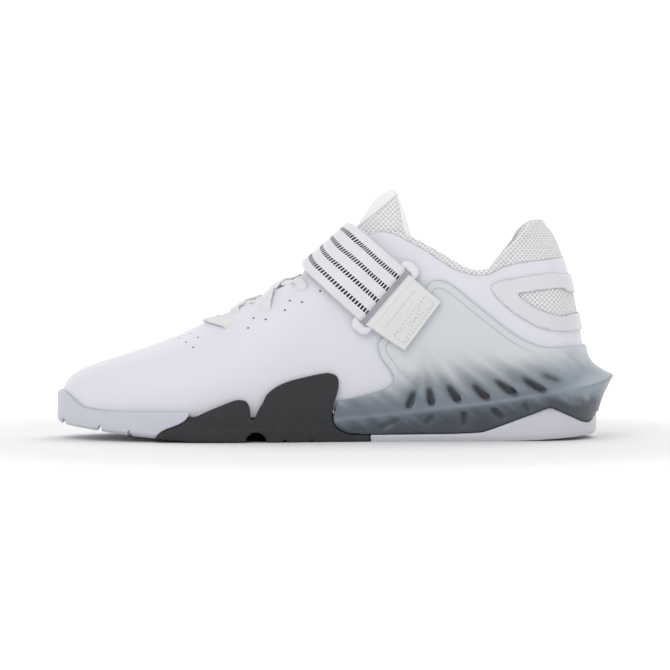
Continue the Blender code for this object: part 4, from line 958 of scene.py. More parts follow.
def prism(outline):
    """A cutter: an (x, z) outline carried right across the shoe."""
    outline = np.array(outline, float)
    near = np.stack([outline[:, 0], np.full(len(outline), -HALF_DEPTH), outline[:, 1]], axis=1)
    return band_piece("cutter", np.stack([near, near * np.array([1.0, -1.0, 1.0])]))


def cut_groove(piece, share, roof):
    """Cuts a square groove right across the piece's underside, up to its roof."""
    x, half = float(along(share)), GROOVE_WIDTH / 2
    low = roof - BOX_DEPTH
    box = [(x - half, low), (x + half, low), (x + half, roof), (x - half, roof)]
    carve(piece, prism(box), "DIFFERENCE")


def wedge_line():
    """The side view's line of the tread, its heights between the slab's and the peak's."""
    line = side_line(WEDGE_LINE, 1.0)
    line[:, 1] = mix(OUTSOLE_THICKNESS, WEDGE_PEAK, line[:, 1])
    return line


REAR = side_line(REAR_JOINT, LOBE_HEIGHT)
print("rear joint of the midsole:", len(REAR), "points")

# %% [markdown]
# ### The front sole
# A cup of pale rubber wraps the toe. Its foot tucks in, its wall thins to a rim, and small notches
# across the underside let it bend.

# %% Front sole
TOE_NOTCHES = (0.006, 0.078, 0.135)
TOE_ROWS, TOE_CLIMB_END, TOE_CLIMB_POWER, TOE_TUCK, TOE_THINNING = 26, 0.075, 1.4, 0.55, 0.013
TOE_JOINT = ((0.186, -1.00), (0.186, 0.209), (0.245, 0.848), (0.247, 2.20))


def toe_rim(share):
    """The rim's height: it climbs over the toe and runs level along the side."""
    high = 1 - smooth_step(share, 0.0, TOE_CLIMB_END)
    return mix(SIDE_RIM_HEIGHT, TOE_RIM_HEIGHT, high**TOE_CLIMB_POWER)


def toe_reach(place, z):
    """How far the cup stands out: tucked in at the foot, and thinned to the rim's wall above."""
    share = foot_share(place)
    low, high = ground_height(share), toe_rim(share)
    foot = 1 - TOE_TUCK * (1 - smooth_step((z - low) / (high - low), 0.0, 0.16))
    seat = seat_height(share)
    return mix(edge_reach(place) * foot, GAP + RIM_WALL, smooth_step(z, seat, seat + TOE_THINNING))


toe_sole = tray("toe_sole_skin", toe_rim, TOE_ROWS, toe_reach)
joint = side_line(TOE_JOINT, SIDE_RIM_HEIGHT)
carve(toe_sole, prism(np.concatenate([
    [[joint[0, 0], BELOW_FLOOR], [along(PAST_TOE), BELOW_FLOOR], [along(PAST_TOE), HALF_DEPTH],
     [joint[-1, 0], HALF_DEPTH]], joint[::-1][:-1]])), "INTERSECT")
for share in TOE_NOTCHES:
    cut_groove(toe_sole, share, float(ground_height(share)) + GROOVE_DEPTH)
moulded(toe_sole, grain=0.0006, passes=4)
settle(toe_sole, "pale_rubber", toe_finish.material, "toe_sole")

# %% [markdown]
# ### The dark midsole
# Charcoal foam rises in two lobes on each side, with an arched notch at the flex point of the foot.
# The foam is matt and full of fine pale specks.

# %% Dark midsole
LOBE_LINE = (
    (0.246, 0.379), (0.259, 0.379), (0.284, 0.469), (0.327, 0.603), (0.339, 0.620), (0.350, 0.610),
    (0.356, 0.563), (0.359, 0.500), (0.360, 0.409), (0.362, 0.340), (0.365, 0.315), (0.369, 0.365),
    (0.375, 0.467), (0.383, 0.573), (0.394, 0.722), (0.421, 0.856), (0.461, 0.945), (0.499, 1.002),
    (0.510, 0.998), (0.519, 0.972), (0.523, 0.930), (0.525, 0.870), (0.524, 0.781), (0.521, 0.677),
    (0.516, 0.558), (0.512, 0.365),
)
FLEX_NOTCH_SHARE, FLEX_NOTCH_WIDTH, FLEX_NOTCH_HEIGHT = 0.371, 0.0112, 0.0054
SIPES = (0.225, 0.270, 0.315, 0.425, 0.475)
MIDSOLE_ROWS, MIDSOLE_TOP = 44, LOBE_HEIGHT * 1.06


def wrap_reach(place, z):
    """A proud foot band, a ledge, then a wall that thins up the lobes."""
    seat = seat_height(foot_share(place))
    ledge = LEDGE_STEP * (1 - smooth_step(z, LEDGE_HEIGHT * 0.9, LEDGE_HEIGHT * 1.15))
    thin = smooth_step(z, seat - 0.002, seat + 0.020)
    return mix(edge_reach(place) - LEDGE_STEP, GAP + RIM_WALL, thin) + ledge


midsole = tray("midsole_skin", lambda share: share * 0 + MIDSOLE_TOP, MIDSOLE_ROWS, wrap_reach)
front_joint = shifted(joint, GAP)
front_joint = front_joint[front_joint[:, 1] < LOBE_LINE[0][1] * LOBE_HEIGHT]
lobes = side_line(LOBE_LINE, LOBE_HEIGHT)
carve(midsole, prism(np.concatenate([
    front_joint, lobes, REAR[1:], [[REAR[-1, 0], BELOW_FLOOR], [front_joint[0, 0], BELOW_FLOOR]]])),
    "INTERSECT")
turn = np.linspace(0, np.pi, 25)
arch_x = along(FLEX_NOTCH_SHARE) + FLEX_NOTCH_WIDTH / 2 * np.cos(turn)
arch = np.stack([arch_x, FLEX_NOTCH_HEIGHT * np.sin(turn)], axis=1)
carve(midsole, prism(np.concatenate([
    [[arch[0, 0], BELOW_FLOOR]], arch, [[arch[-1, 0], BELOW_FLOOR]]])), "DIFFERENCE")
for share in SIPES:
    cut_groove(midsole, share, GROOVE_DEPTH * 0.5)
moulded(midsole, grain=0.0007, passes=3)

# %% [markdown]
# ### Speckled foam
# The specks are the middles of small Voronoi cells. A grain in the relief keeps the foam matt.

# %% Speckled foam
CHARCOAL, SPECK = (0.030, 0.031, 0.035), (0.14, 0.14, 0.15)
SPECKS_PER_METRE, SPECK_SIZE, SPECK_STRENGTH = 900.0, 0.17, 0.45


def speckled_foam():
    """Charcoal with pale specks, one in the middle of each small cell."""
    made = Finish("Charcoal foam dressed", CHARCOAL, 0.78)
    cells = add_node(made.tree, "TexVoronoi", {"Vector": made.place, "Scale": SPECKS_PER_METRE})
    speck = Signal(cells.outputs["Distance"]) < SPECK_SIZE
    made.set(Base_Color=(speck * SPECK_STRENGTH).blend(CHARCOAL, SPECK))
    made.bump(made.group(GRAIN, {"Grain per metre": 1300.0})["Grain"], 0.00022)
    return made


settle(midsole, "charcoal_foam", speckled_foam().material, "midsole")

# %% [markdown]
# ### The heel frame
# A clear, frosted plastic cup holds the heel. A sharp ridge runs along it to a spur at the back, ribs
# leave pockets above and below the ridge, with painted shade in them, and a thin flange climbs to the strap's
# webbing.
# Frosted plastic looks milky where it is thin over white, and slate where it is thick. So the colour
# follows the height above the ridge, not real transparency, which would be noisy and slow.

# %% Ridge of the heel frame
RIDGE_ROWS = (
    (0.00, 0.33, 0.26), (0.50, 0.33, 0.26), (0.57, 0.390, 0.32), (0.63, 0.437, 0.40),
    (0.685, 0.485, 0.48), (0.735, 0.532, 0.55), (0.776, 0.572, 0.60), (0.832, 0.628, 0.65),
    (0.872, 0.690, 0.68), (0.908, 0.740, 0.70), (0.948, 0.802, 0.72), (0.985, 0.900, 0.80),
    (1.00, 1.00, 1.00),
)
RIDGE = np.array(RIDGE_ROWS)
HOLLOW_TOP, HOLLOW_ABOVE, HOLLOW_BELOW = 0.56, 2.6, 2.4


def ridge_at(share):
    """Height and reach of the ridge at a share of the feather edge's length."""
    return (np.interp(share, RIDGE[:, 0], RIDGE[:, 1]) * SPUR_HEIGHT,
            np.interp(share, RIDGE[:, 0], RIDGE[:, 2]) * SPUR_REACH)


def frame_reach(place, z):
    """A sharp ridge, hollowed above and below, thinning to the flange."""
    height, reach = ridge_at(foot_share(place))
    top = FLANGE_HEIGHT * HOLLOW_TOP
    above = np.clip((top - z) / np.maximum(top - height, 1e-6), 0, 1) ** HOLLOW_ABOVE
    below = np.clip(z / np.maximum(height, 1e-6), 0, 1) ** HOLLOW_BELOW
    return np.where(z > height, mix(GAP + FLANGE_WALL, reach, above), mix(edge_reach(place), reach, below))


print("highest point of the ridge:", round(float(ridge_at(1.0)[0]), 4), "m")

# %% [markdown]
# ### The frame's blank
# The blank runs all round the shoe, as the sole's do. It is a tube of rings, closed under the foot.

# %% Blank of the heel frame
FLANGE_LINE = (
    (0.522, 0.254), (0.545, 0.266), (0.577, 0.291), (0.603, 0.316), (0.618, 0.338), (0.626, 0.368),
    (0.626, 0.405), (0.620, 0.446), (0.610, 0.488), (0.602, 0.530), (0.598, 0.578), (0.600, 0.620),
    (0.620, 0.690), (0.648, 0.775), (0.670, 0.860), (0.684, 0.930), (0.694, 0.980), (0.705, 1.000),
    (0.717, 1.000), (0.728, 0.988), (0.750, 0.939), (0.776, 0.868), (0.809, 0.781), (0.843, 0.692),
    (0.868, 0.638), (0.895, 0.599), (0.914, 0.585), (0.930, 0.582), (0.965, 0.586), (0.996, 0.590),
    (1.080, 0.591),
)


def frame_blank():
    """A tube of rings: up the outside over the ridge, down against the upper, and in under the foot."""
    share = foot_share(SOLE_PLACES)
    height, _ = ridge_at(share)
    low, seat = ground_height(share), seat_height(share)
    top = np.minimum(FLANGE_HEIGHT * 1.04, 0.97 * strips_at(SOLE_PLACES)[:, 5])
    under = mix(low, height, np.linspace(0, 1, 16)[:, None])
    over = mix(height, top, (np.linspace(0, 1, 40)[1:, None]) ** 1.3)
    levels = np.concatenate([under, over])
    outside = out_from(SOLE_PLACES, levels, frame_reach(SOLE_PLACES, levels))
    inner_z = mix(seat, top, np.linspace(1, 0, 26)[:, None])
    inside = lining_rings(inner_z)
    inside[..., 2] = inner_z
    foot = strips_at(SOLE_PLACES)[:, :3] + out_of(SOLE_PLACES) * GAP
    foot[:, 2] = low
    return ring_piece("heel_frame_skin", np.concatenate([outside, inside, [foot]]), tube=True)


heel_frame = frame_blank()
flange = side_line(FLANGE_LINE, FLANGE_HEIGHT)
frame_rear, frame_wedge = shifted(REAR, -GAP), shifted(wedge_line(), -GAP)
frame_wedge = frame_wedge[frame_wedge[:, 0] > frame_rear[-1, 0] + 0.001]
carve(heel_frame, prism(np.concatenate([frame_rear, frame_wedge, flange[::-1]])), "INTERSECT")
print("frame cut to its side view:", len(heel_frame.data.polygons), "faces")

# %% [markdown]
# ### The pockets
# Each pocket is cut with an egg shape that lies in the frame's skin, leaning as the ribs do.

# %% Pockets
POCKET_SHOWN = 0.35
POCKETS = (
    (0.659, 0.256, 0.061, 68, 0.9), (0.696, 0.274, 0.058, 100, 1.0), (0.741, 0.289, 0.068, 126, 1.0),
    (0.792, 0.301, 0.072, 137, 1.0), (0.840, 0.329, 0.086, 147, 1.0), (0.892, 0.346, 0.086, 150, 1.0),
    (0.924, 0.390, 0.074, 158, 0.6), (0.618, 0.111, 0.078, 25, 0.5), (0.693, 0.136, 0.044, 41, 0.6),
    (0.758, 0.141, 0.045, 92, 0.8), (0.822, 0.173, 0.051, 141, 0.8), (0.875, 0.212, 0.040, 143, 0.6),
)


def pocket(side, row):
    """An egg-shaped cutter lying in the frame's skin."""
    a, h, long_half, lean, depth = row
    x, z = along(a), h * FLANGE_HEIGHT
    place, _ = side_place(x, z, side)
    skin = out_from(place, z, frame_reach(place, z))
    lean = np.radians(lean)
    long_axis = np.array([np.cos(lean), 0, np.sin(lean)])
    out = np.array([0.0, float(side), 0.0])
    short_axis = np.cross(out, long_axis)
    t = np.linspace(-1, 1, 17)[:, None, None]
    turn = np.linspace(0, 2 * np.pi, 16, endpoint=False)[None, :, None]
    size = np.sqrt(1.03 - t * t)
    return band_piece("cutter", skin + long_axis * t * long_half * FLANGE_HEIGHT
                      + short_axis * np.cos(turn) * size * POCKET_HALF_WIDTH
                      + out * np.sin(turn) * size * POCKET_DEPTH * depth * POCKET_SHOWN)


for side in (INNER, OUTER):
    for row in POCKETS:
        carve(heel_frame, pocket(side, row), "DIFFERENCE")
moulded(heel_frame, grain=0.0008, passes=3)

# %% [markdown]
# ### Frost on the heel frame
# The colour is worked out from numbers on the mesh: height above the ridge, nearness to the ridge for a
# painted highlight, nearness to the rim, and how far a point lies in the painted shadow of a pocket's hollow
# or in the painted shade that trails from it.
# A stretched noise moves the border between milk and slate, which gives the leaning streaks.

# %% Frost numbers
TAIL_LENGTH, TAIL_BACK, TAIL_WIDTH = 3.1, 1.3, 1.8
CORE_LENGTH, CORE_BACK, CORE_WIDTH, RIDGE_SOFTNESS = 1.15, 0.95, 1.05, 0.0011


def pocket_numbers(points):
    """How far each point lies in the painted shadow of a pocket's hollow, and in the painted shade that
    trails up from it.
    """
    core, shade = np.zeros(len(points)), np.zeros(len(points))
    for a, h, long_half, lean, strength in POCKETS:
        off_x, off_z = points[:, 0] - along(a), points[:, 2] - h * FLANGE_HEIGHT
        lean = np.radians(lean)
        u = (off_x * np.cos(lean) + off_z * np.sin(lean)) / (long_half * FLANGE_HEIGHT)
        v = (off_z * np.cos(lean) - off_x * np.sin(lean)) / POCKET_HALF_WIDTH
        # The dark core is painted shadow in the pocket's hollow; the tail is painted shade trailing up from
        # it.
        near = np.exp(-((np.where(u > 0, u / CORE_LENGTH, u / CORE_BACK)) ** 4) - (v / CORE_WIDTH) ** 2)
        core = np.maximum(core, near * strength)
        tail = np.exp(-(np.where(u > 0, u / TAIL_LENGTH, u / TAIL_BACK)) ** 2 - (v / TAIL_WIDTH) ** 2)
        shade = np.maximum(shade, tail * strength)
    return core, shade


def frost_numbers(piece):
    """For each point: height over the ridge, nearness to it for a painted highlight, painted pocket shadow
    and shade, rim distance.
    """
    points = points_of(piece)
    share = share_at(points[:, 0])
    lift = points[:, 2] - ridge_at(np.clip(share, 0.5, 1.0))[0]
    core, shade = pocket_numbers(points)
    rim = np.abs(line_distance(points, flange))
    give_numbers(piece, lift=lift, ridge=np.exp(-(lift / RIDGE_SOFTNESS) ** 2), core=core, shade=shade,
                 edge=rim, back=share)
    print("points in a pocket's core:", int((core > 0.5).sum()))


frost_numbers(heel_frame)

# %% [markdown]
# ### The frosted finish
# Each line lays one colour over the ones before it, as a painter glazes: slate, milk, painted pocket shade,
# a painted highlight on the ridge, painted shadow in the pockets' hollows, the rim and the inner line.

# %% Frosted finish
MILK, HEEL_SLATE, SLATE = (0.67, 0.70, 0.73), (0.27, 0.32, 0.37), (0.15, 0.185, 0.23)
SHADE, DEEP = (0.10, 0.125, 0.155), (0.05, 0.063, 0.08)
# The nearly black colour below is painted shadow in the pockets' hollows; the ridge's light colour is a
# painted highlight.
SHADOW_CORE, RIDGE_LIGHT = (0.012, 0.012, 0.014), (0.28, 0.33, 0.38)
STREAK_LEAN, STREAK_SCALE, STREAK_STRETCH, STREAK_SWING = 38, 30.0, (1.0, 0.3, 0.14), 0.013
INNER_LINE, HEEL_DROP = 0.0042, 0.008


def streaks(made):
    """A noise stretched along the streaks' lean, as heights that swing about 0."""
    stretch = add_node(made.tree, "Mapping", {
        "Rotation": (0, math.radians(STREAK_LEAN), 0), "Scale": STREAK_STRETCH}, vector_type="TEXTURE")
    plug(stretch.inputs["Vector"], made.place)
    noise = add_node(made.tree, "TexNoise", {"Vector": stretch.outputs["Vector"], "Scale": STREAK_SCALE})
    return (Signal(noise.outputs["Fac"]) - 0.5) * STREAK_SWING


def frosted():
    """Milky over the upper, slate towards the ridge, with a painted highlight on the ridge and painted shadow
    in the pockets between paler ribs.
    """
    made = Finish("Frosted frame dressed", SLATE, 0.34)
    height, back, edge = (made.attribute(name) for name in ("lift", "back", "edge"))
    lift = height + streaks(made)
    slate = back.ramp(0.86, 0.97).blend(SLATE, HEEL_SLATE)
    colour = (back.ramp(0.93, 1.0) * HEEL_DROP + lift).ramp(-0.008, 0.003).blend(DEEP, slate)
    colour = lift.ramp(0.003, 0.026).blend(colour, MILK)
    # Painted shade trailing up from each pocket.
    colour = (made.attribute("shade") * 0.70).blend(colour, SHADE)
    # A painted highlight along the ridge.
    colour = (made.attribute("ridge") * 0.42).blend(colour, RIDGE_LIGHT)
    # Painted shadow in each pocket's hollow, nearly black.
    colour = (made.attribute("core").ramp(0.10, 0.95) * 0.95).blend(colour, SHADOW_CORE)
    colour = (edge.ramp(0.0002, 0.0012).rest() * 0.35).blend(colour, RIDGE_LIGHT)
    inner = abs(edge - INNER_LINE).ramp(0.0001, 0.0007).rest() * height.ramp(0.018, 0.030)
    made.set(Base_Color=(inner * 0.30).blend(colour, SLATE), Coat_Weight=0.15, Coat_Roughness=0.35)
    made.bump(made.group(GRAIN, {"Grain per metre": 700.0})["Grain"], 0.00004)
    return made


settle(heel_frame, "frosted_frame", frosted().material, "heel_frame")

# %% [markdown]
# ### The heel tread
# A slab of white rubber under the heel peaks up the side of the frame.

# %% Heel tread


def tread_blank():
    """Rings up a block under the heel, its foot tucked in, closed along the middle of the shoe."""
    t = np.linspace(0, 1, 22)[:, None]
    levels = mix(ground_height(foot_share(SOLE_PLACES)), WEDGE_PEAK * 1.05, t)
    tuck = 1 - 0.25 * (1 - smooth_step(t, 0.0, 0.15))
    rings = out_from(SOLE_PLACES, levels, edge_reach(SOLE_PLACES) * tuck)
    return ring_piece("heel_outsole_skin", np.concatenate([
        [spine_of(rings[0])], rings, [spine_of(rings[-1])]]))


heel_tread = tread_blank()
wedge = wedge_line()
tread_start = REAR[-1, 0] + GAP
carve(heel_tread, prism(np.concatenate([
    [[tread_start, BELOW_FLOOR], [tread_start, OUTSOLE_THICKNESS]], wedge[wedge[:, 0] > tread_start],
    [[along(PAST_HEEL), BELOW_FLOOR]]])), "INTERSECT")
moulded(heel_tread, grain=0.0006, passes=4)
settle(heel_tread, "white_rubber", rubber_finish.material, "heel_outsole")

# %% [markdown]
# ## The upper
# The upper is one wall: a smooth coated panel, with a mesh bootie above it that ends in a soft roll
# round the ankle. It is the last's own function, drawn on a fine grid, outside and inside. The seam
# where the panel stops is a line in the side view, and its distance is stored at every point.

# %% Upper surface
UPPER_COLUMNS = 460
UPPER_PLACES = even_places(UPPER_COLUMNS)
PANEL_STEP = 0.0005
ROLL_LIFT, ROLL_WIDTH = 0.0010, 0.035
OUTER_ROWS, LINING_ROWS, CREST_ROWS = 120, 44, 9
CREST_THIN, CREST_PADDED = 0.5, 0.42
PANEL_LINE = (
    (0.560, 0.915), (0.585, 0.944), (0.601, 0.955), (0.626, 0.946), (0.655, 0.911), (0.683, 0.875),
    (0.710, 0.830), (0.739, 0.786), (0.765, 0.764), (0.783, 0.755), (0.805, 0.759), (0.830, 0.789),
    (0.846, 0.802), (0.869, 0.814), (0.901, 0.823), (0.932, 0.831), (0.953, 0.837), (1.050, 0.840),
)


def upper_wall(place, rise):
    """The wall: thin at the foot and the throat, padded round the collar."""
    edge_share = share_at(strips_at(place)[..., 3])
    padded = smooth_step(edge_share, PAD_START, PAD_FULL) * smooth_step(rise, 0.52, 0.86)
    return mix(UPPER_WALL, COLLAR_PAD, padded)


def panel_height(x):
    """The height of the panel's upper edge over a point of the side view."""
    line = side_line(PANEL_LINE, COLLAR_HEIGHT)
    return np.interp(x, line[:, 0], line[:, 1])


def upper_skin():
    """Rings up the outside, over the roll and down the lining."""
    outer_rises = np.linspace(0, 1, OUTER_ROWS)[:, None]
    inner_rises = np.linspace(1, 0, LINING_ROWS)[:, None]
    bare = bare_last(UPPER_PLACES, outer_rises)
    above = bare[..., 2] - panel_height(bare[..., 0])
    padded = smooth_step(share_at(strips_at(UPPER_PLACES)[:, 3]), PAD_START, PAD_FULL)
    roll = ROLL_LIFT * padded * np.exp(-((1 - outer_rises) / ROLL_WIDTH) ** 2)
    behind_tongue = smooth_step(share_at(bare[..., 0]), 0.575, 0.60)
    step = -PANEL_STEP * smooth_step(above, -0.0003, 0.0009) * behind_tongue
    outside = last(UPPER_PLACES, outer_rises, step + roll)
    inside = last(UPPER_PLACES, inner_rises, -upper_wall(UPPER_PLACES, inner_rises))
    turn = np.linspace(0, np.pi, CREST_ROWS)[1:-1, None]
    middle, half = (outside[-1] + inside[0]) / 2, (outside[-1] - inside[0]) / 2
    crest = middle + half * np.cos(turn)[..., None]
    crest[..., 2] += np.sin(turn) * mix(CREST_THIN, CREST_PADDED, padded) * upper_wall(UPPER_PLACES, 1.0)
    return ring_piece("upper_skin", np.concatenate([outside, crest, inside]), tube=True)


upper = upper_skin()
points = points_of(upper)
give_numbers(upper, collar=points[:, 2] - panel_height(points[:, 0]))
print("upper:", len(points), "points")

# %% [markdown]
# ### The upper's map
# The knitted mesh needs even holes, so it is drawn on a flat map of the upper: length round the foot
# against height. Round the heel the length is an arc about one centre.

# %% Upper map
HEEL_CENTRE, HEEL_RADIUS = along(0.86), 0.030


def loop_flat(points):
    """Length round the foot, unrolled about the heel, and height."""
    ahead = points[:, 0] - HEEL_CENTRE
    angle = np.arctan2(points[:, 1], np.maximum(ahead, 1e-9))
    round_heel = np.where(ahead > 0, -HEEL_RADIUS * np.abs(angle), ahead - HEEL_RADIUS * np.pi / 2)
    return np.stack([round_heel, points[:, 2]], axis=1)


flat = loop_flat(points)
give_flat_map(upper, flat)
print("the map is", np.ptp(flat, axis=0).round(3), "m")

# %% [markdown]
# ### Pinholes
# A few pinholes let air in at each side of the toe. Each is a small dark dot in the finish, placed by
# its distance from a point on the skin, because a hole of one millimetre needs no geometry here.

# %% Pinholes
PERFORATIONS = (
    (0.223, 0.490), (0.244, 0.513), (0.260, 0.497), (0.238, 0.474), (0.252, 0.451), (0.365, 0.591),
    (0.388, 0.586), (0.355, 0.545), (0.433, 0.675), (0.456, 0.669), (0.424, 0.630), (0.490, 0.722),
)
PERFORATION_RADIUS = 0.00062


def dot_distance(made):
    """Shader nodes for the distance to the nearest pinhole, on either side of the shoe."""
    shares = np.array(PERFORATIONS)
    gaps = []
    for side in (INNER, OUTER):
        for mark in on_side(along(shares[:, 0]), shares[:, 1] * INSTEP_HEIGHT, side):
            gap = add_node(made.tree, "VectorMath", {0: made.place, 1: mark}, operation="DISTANCE")
            gaps.append(Signal(gap.outputs["Value"]))
    return functools.reduce(lambda near, gap: near.maths("MINIMUM", gap), gaps)


print(len(PERFORATIONS), "pinholes on each side")

# %% [markdown]
# ### The upper's finish
# One material covers the whole wall. Over the seam, and in the window at the heel, the coated panel
# gives way to knitted mesh. The seam itself is a thin grey line.

# %% Upper material
PANEL, MESH_PALE, MESH_HOLE = (0.785, 0.785, 0.85), (0.89, 0.89, 0.90), (0.60, 0.60, 0.62)
SEAM_GREY, DOT_DARK = (0.36, 0.36, 0.40), (0.05, 0.05, 0.06)
HOLE_DEPTH, MESH_RELIEF = 0.8, 0.0005
WINDOW_LINE = (
    (1.100, 0.679), (0.974, 0.679), (0.945, 0.700), (0.917, 0.696), (0.885, 0.686), (0.866, 0.680),
    (0.862, 0.668), (0.870, 0.651), (0.885, 0.624), (0.909, 0.593), (0.933, 0.576), (0.948, 0.570),
    (0.981, 0.583), (1.100, 0.590),
)
window_line = side_line(WINDOW_LINE, COLLAR_HEIGHT)
give_numbers(upper, window=line_distance(points, window_line))


def knitted(made):
    """The mesh fabric's colour, and how high its surface stands between the holes."""
    fabric = add_node(made.tree, "UVMap", {}, uv_map="fabric")
    holes = made.group(HOLES, {}, fabric.outputs["UV"])
    return (holes["Hole"] * HOLE_DEPTH).blend(MESH_PALE, MESH_HOLE), holes["Depth"].rest()


def upper_finish():
    """A smooth coated synthetic. Over the seam, and in the heel's window, it is a knitted mesh."""
    made = grained("White synthetic dressed", PANEL, 0.50, grain=2600.0, relief=0.00003, coat=0.06)
    collar = made.attribute("collar")
    mesh = collar.ramp(0.0004, 0.0009).maths("MAXIMUM", made.attribute("window").ramp(-0.0004, 0.0004))
    knit, stand = knitted(made)
    colour = (collar.between(0.0006, 0.0002, 0.0005) * 0.35).blend(mesh.blend(made.base(), knit), SEAM_GREY)
    dots = dot_distance(made).ramp(PERFORATION_RADIUS * 0.7, PERFORATION_RADIUS * 1.2).rest()
    made.set(Base_Color=dots.blend(colour, DOT_DARK), Roughness=mesh * 0.4 + 0.50)
    made.bump(stand * mesh, MESH_RELIEF)
    return made


settle(upper, "upper_synthetic", upper_finish().material, "upper")

# %% [markdown]
# ### The heel counter
# A thin film wraps the heel over the panel, with a long window on each side.

# %% Heel counter
COUNTER_WALL, COUNTER_LOW, COUNTER_HIGH, COUNTER_ROWS = 0.0009, 0.49, 0.785, 16
COUNTER_LINE = (
    (1.100, 0.770), (0.955, 0.763), (0.933, 0.771), (0.900, 0.763), (0.870, 0.751), (0.837, 0.739),
    (0.818, 0.725), (0.811, 0.708), (0.813, 0.686), (0.825, 0.648), (0.845, 0.605), (0.870, 0.562),
    (0.900, 0.523), (0.933, 0.506), (0.955, 0.502), (0.983, 0.506), (1.100, 0.506),
)


def counter_blank():
    """A band round the whole upper between two heights, as a closed tube."""
    heights = np.linspace(COUNTER_LOW, COUNTER_HIGH, COUNTER_ROWS)[:, None] * COLLAR_HEIGHT
    places, heights = np.broadcast_arrays(SOLE_PLACES, heights)
    rise = rise_at_height(places, heights)
    inside, outside = last(places, rise, GAP), last(places, rise, GAP + COUNTER_WALL)
    return ring_piece("heel_counter_skin", np.concatenate([inside, outside[::-1]]), tube=True)


counter = counter_blank()
carve(counter, prism(side_line(COUNTER_LINE, COLLAR_HEIGHT)), "INTERSECT")
carve(counter, prism(window_line), "DIFFERENCE")
film = grained("Counter film dressed", (0.745, 0.75, 0.79), 0.40, grain=1800.0, relief=0.00003, coat=0.1)
settle(counter, "counter_film", film.material, "heel_counter")

# %% [markdown]
# ### The tongue
# The tongue arches over the instep from one side of the throat to the other and stands up at the ankle.
# A smooth panel runs up its front, and perforated wings run back to the collar. It is a padded piece.

# %% Tongue surface
TONGUE_WALL, TONGUE_TUCK = 0.0034, 0.0075
TONGUE_TIP_HEIGHT = 1.211 * INSTEP_HEIGHT
TONGUE_ROWS = (
    (0.270, 0.277, 0.440), (0.277, 0.286, 0.452), (0.289, 0.299, 0.473), (0.315, 0.324, 0.507),
    (0.362, 0.365, 0.557), (0.428, 0.427, 0.626), (0.505, 0.498, 0.708), (0.578, 0.546, 0.812),
    (0.614, 0.575, 0.902), (0.640, 0.600, 0.978), (0.658, 0.629, 1.010),
)
LEVEL = np.array([1.0, 1.0, 0.0])
RISE_HANDLE, SPINE_HANDLE = 0.22, 0.40


def tongue_grid(columns, arch_rows):
    """The tongue's outside: a column up from each place of the opening's edge to the spine."""
    rows = np.array(TONGUE_ROWS)
    fine = np.linspace(0, 1, 800)
    end = fine[np.argmax(share_at(strips_at(fine)[:, 3]) > rows[-1, 0])]
    half = end * (0.5 * np.linspace(0, 1, columns) + 0.5 * np.linspace(0, 1, columns) ** 2)
    places = np.concatenate([2 - half[::-1], half[1:]])
    strips = strips_at(places)
    edge = share_at(strips[:, 3])
    spine = np.zeros((len(places), 3))
    spine[:, 0] = along(spline(rows[:, 0], rows[:, 1], edge))
    spine[:, 2] = spline(rows[:, 0], rows[:, 2], edge) * TONGUE_TIP_HEIGHT
    spine[columns - 1] = spine[columns]
    handle = (strips[:, 0:3] - strips[:, 3:6]) * LEVEL * strips[:, 8:9]
    handle[:, 2] -= strips[:, 9] * (strips[:, 5] - strips[:, 2])
    tuck = TONGUE_TUCK / (3 * np.linalg.norm(handle, axis=1))
    rises = 1 - tuck * np.linspace(1, 0, 6)[:, None]
    tucked = last(places, rises, -upper_wall(places, rises) - GAP * 1.8)
    start, heading = tucked[-1], -unit(handle)
    span = np.linalg.norm(spine - start, axis=1, keepdims=True)
    side = np.sign(start[:, 1:2]) * np.array([0.0, 1.0, 0.0])
    shares = np.linspace(0, 1, arch_rows + 1)[1:, None] + np.zeros(len(places))
    arch = bezier(start, start + heading * span * RISE_HANDLE,
                  spine + side * span * SPINE_HANDLE, spine, shares)
    return np.concatenate([tucked, arch])


tongue_top = tongue_grid(70, 24)
print("tongue:", tongue_top.shape[:2], "points")

# %% [markdown]
# ### The tongue's padding
# A second sheet lies one wall inside the first, along its normals, and strips of quads close the three
# free edges. The remesh then rounds them, as foam rounds a sewn edge.

# %% Tongue shell


def sheet_normals(grid):
    """Unit normals of a grid of points, from the steps to its neighbours."""
    return unit(np.cross(np.gradient(grid, axis=0), np.gradient(grid, axis=1)))


def thick_sheet(name, top, wall):
    """The tongue as a closed shell: its outside, its inside and its three free edges."""
    normal = sheet_normals(top)
    normal[-1] = normal[-2] + normal[-2][::-1] * np.array([1.0, -1.0, 1.0])
    normal[-1, :, 1] = 0
    normal[-1] = unit(normal[-1])
    if normal[-1, :, 2].mean() < 0:
        normal = -normal
    under = top - normal * wall
    rows, columns = top.shape[:2]
    outer_faces = quads(rows, columns)
    index = np.arange(rows * columns).reshape(rows, columns)
    low = index + rows * columns

    def hem(line, other):
        """One row of quads between two lines of corner numbers."""
        return np.stack([line[:-1], other[:-1], other[1:], line[1:]], axis=1)

    faces = np.concatenate([
        outer_faces, outer_faces[:, ::-1] + rows * columns, hem(index[0], low[0]),
        hem(index[::-1, 0], low[::-1, 0]), hem(index[:, -1], low[:, -1])])
    return mesh_piece(name, np.concatenate([top.reshape(-1, 3), under.reshape(-1, 3)]), faces)


tongue = thick_sheet("tongue_pad", tongue_top, TONGUE_WALL)
moulded(tongue, grain=0.0008, passes=5)
print("tongue shell:", len(tongue.data.polygons), "faces")

# %% [markdown]
# ### The tongue's seams
# A piped seam parts the smooth front from the perforated wings, and a smooth binding runs down the rear
# edge. Both are lines in the side view, and their distances are stored at every point.

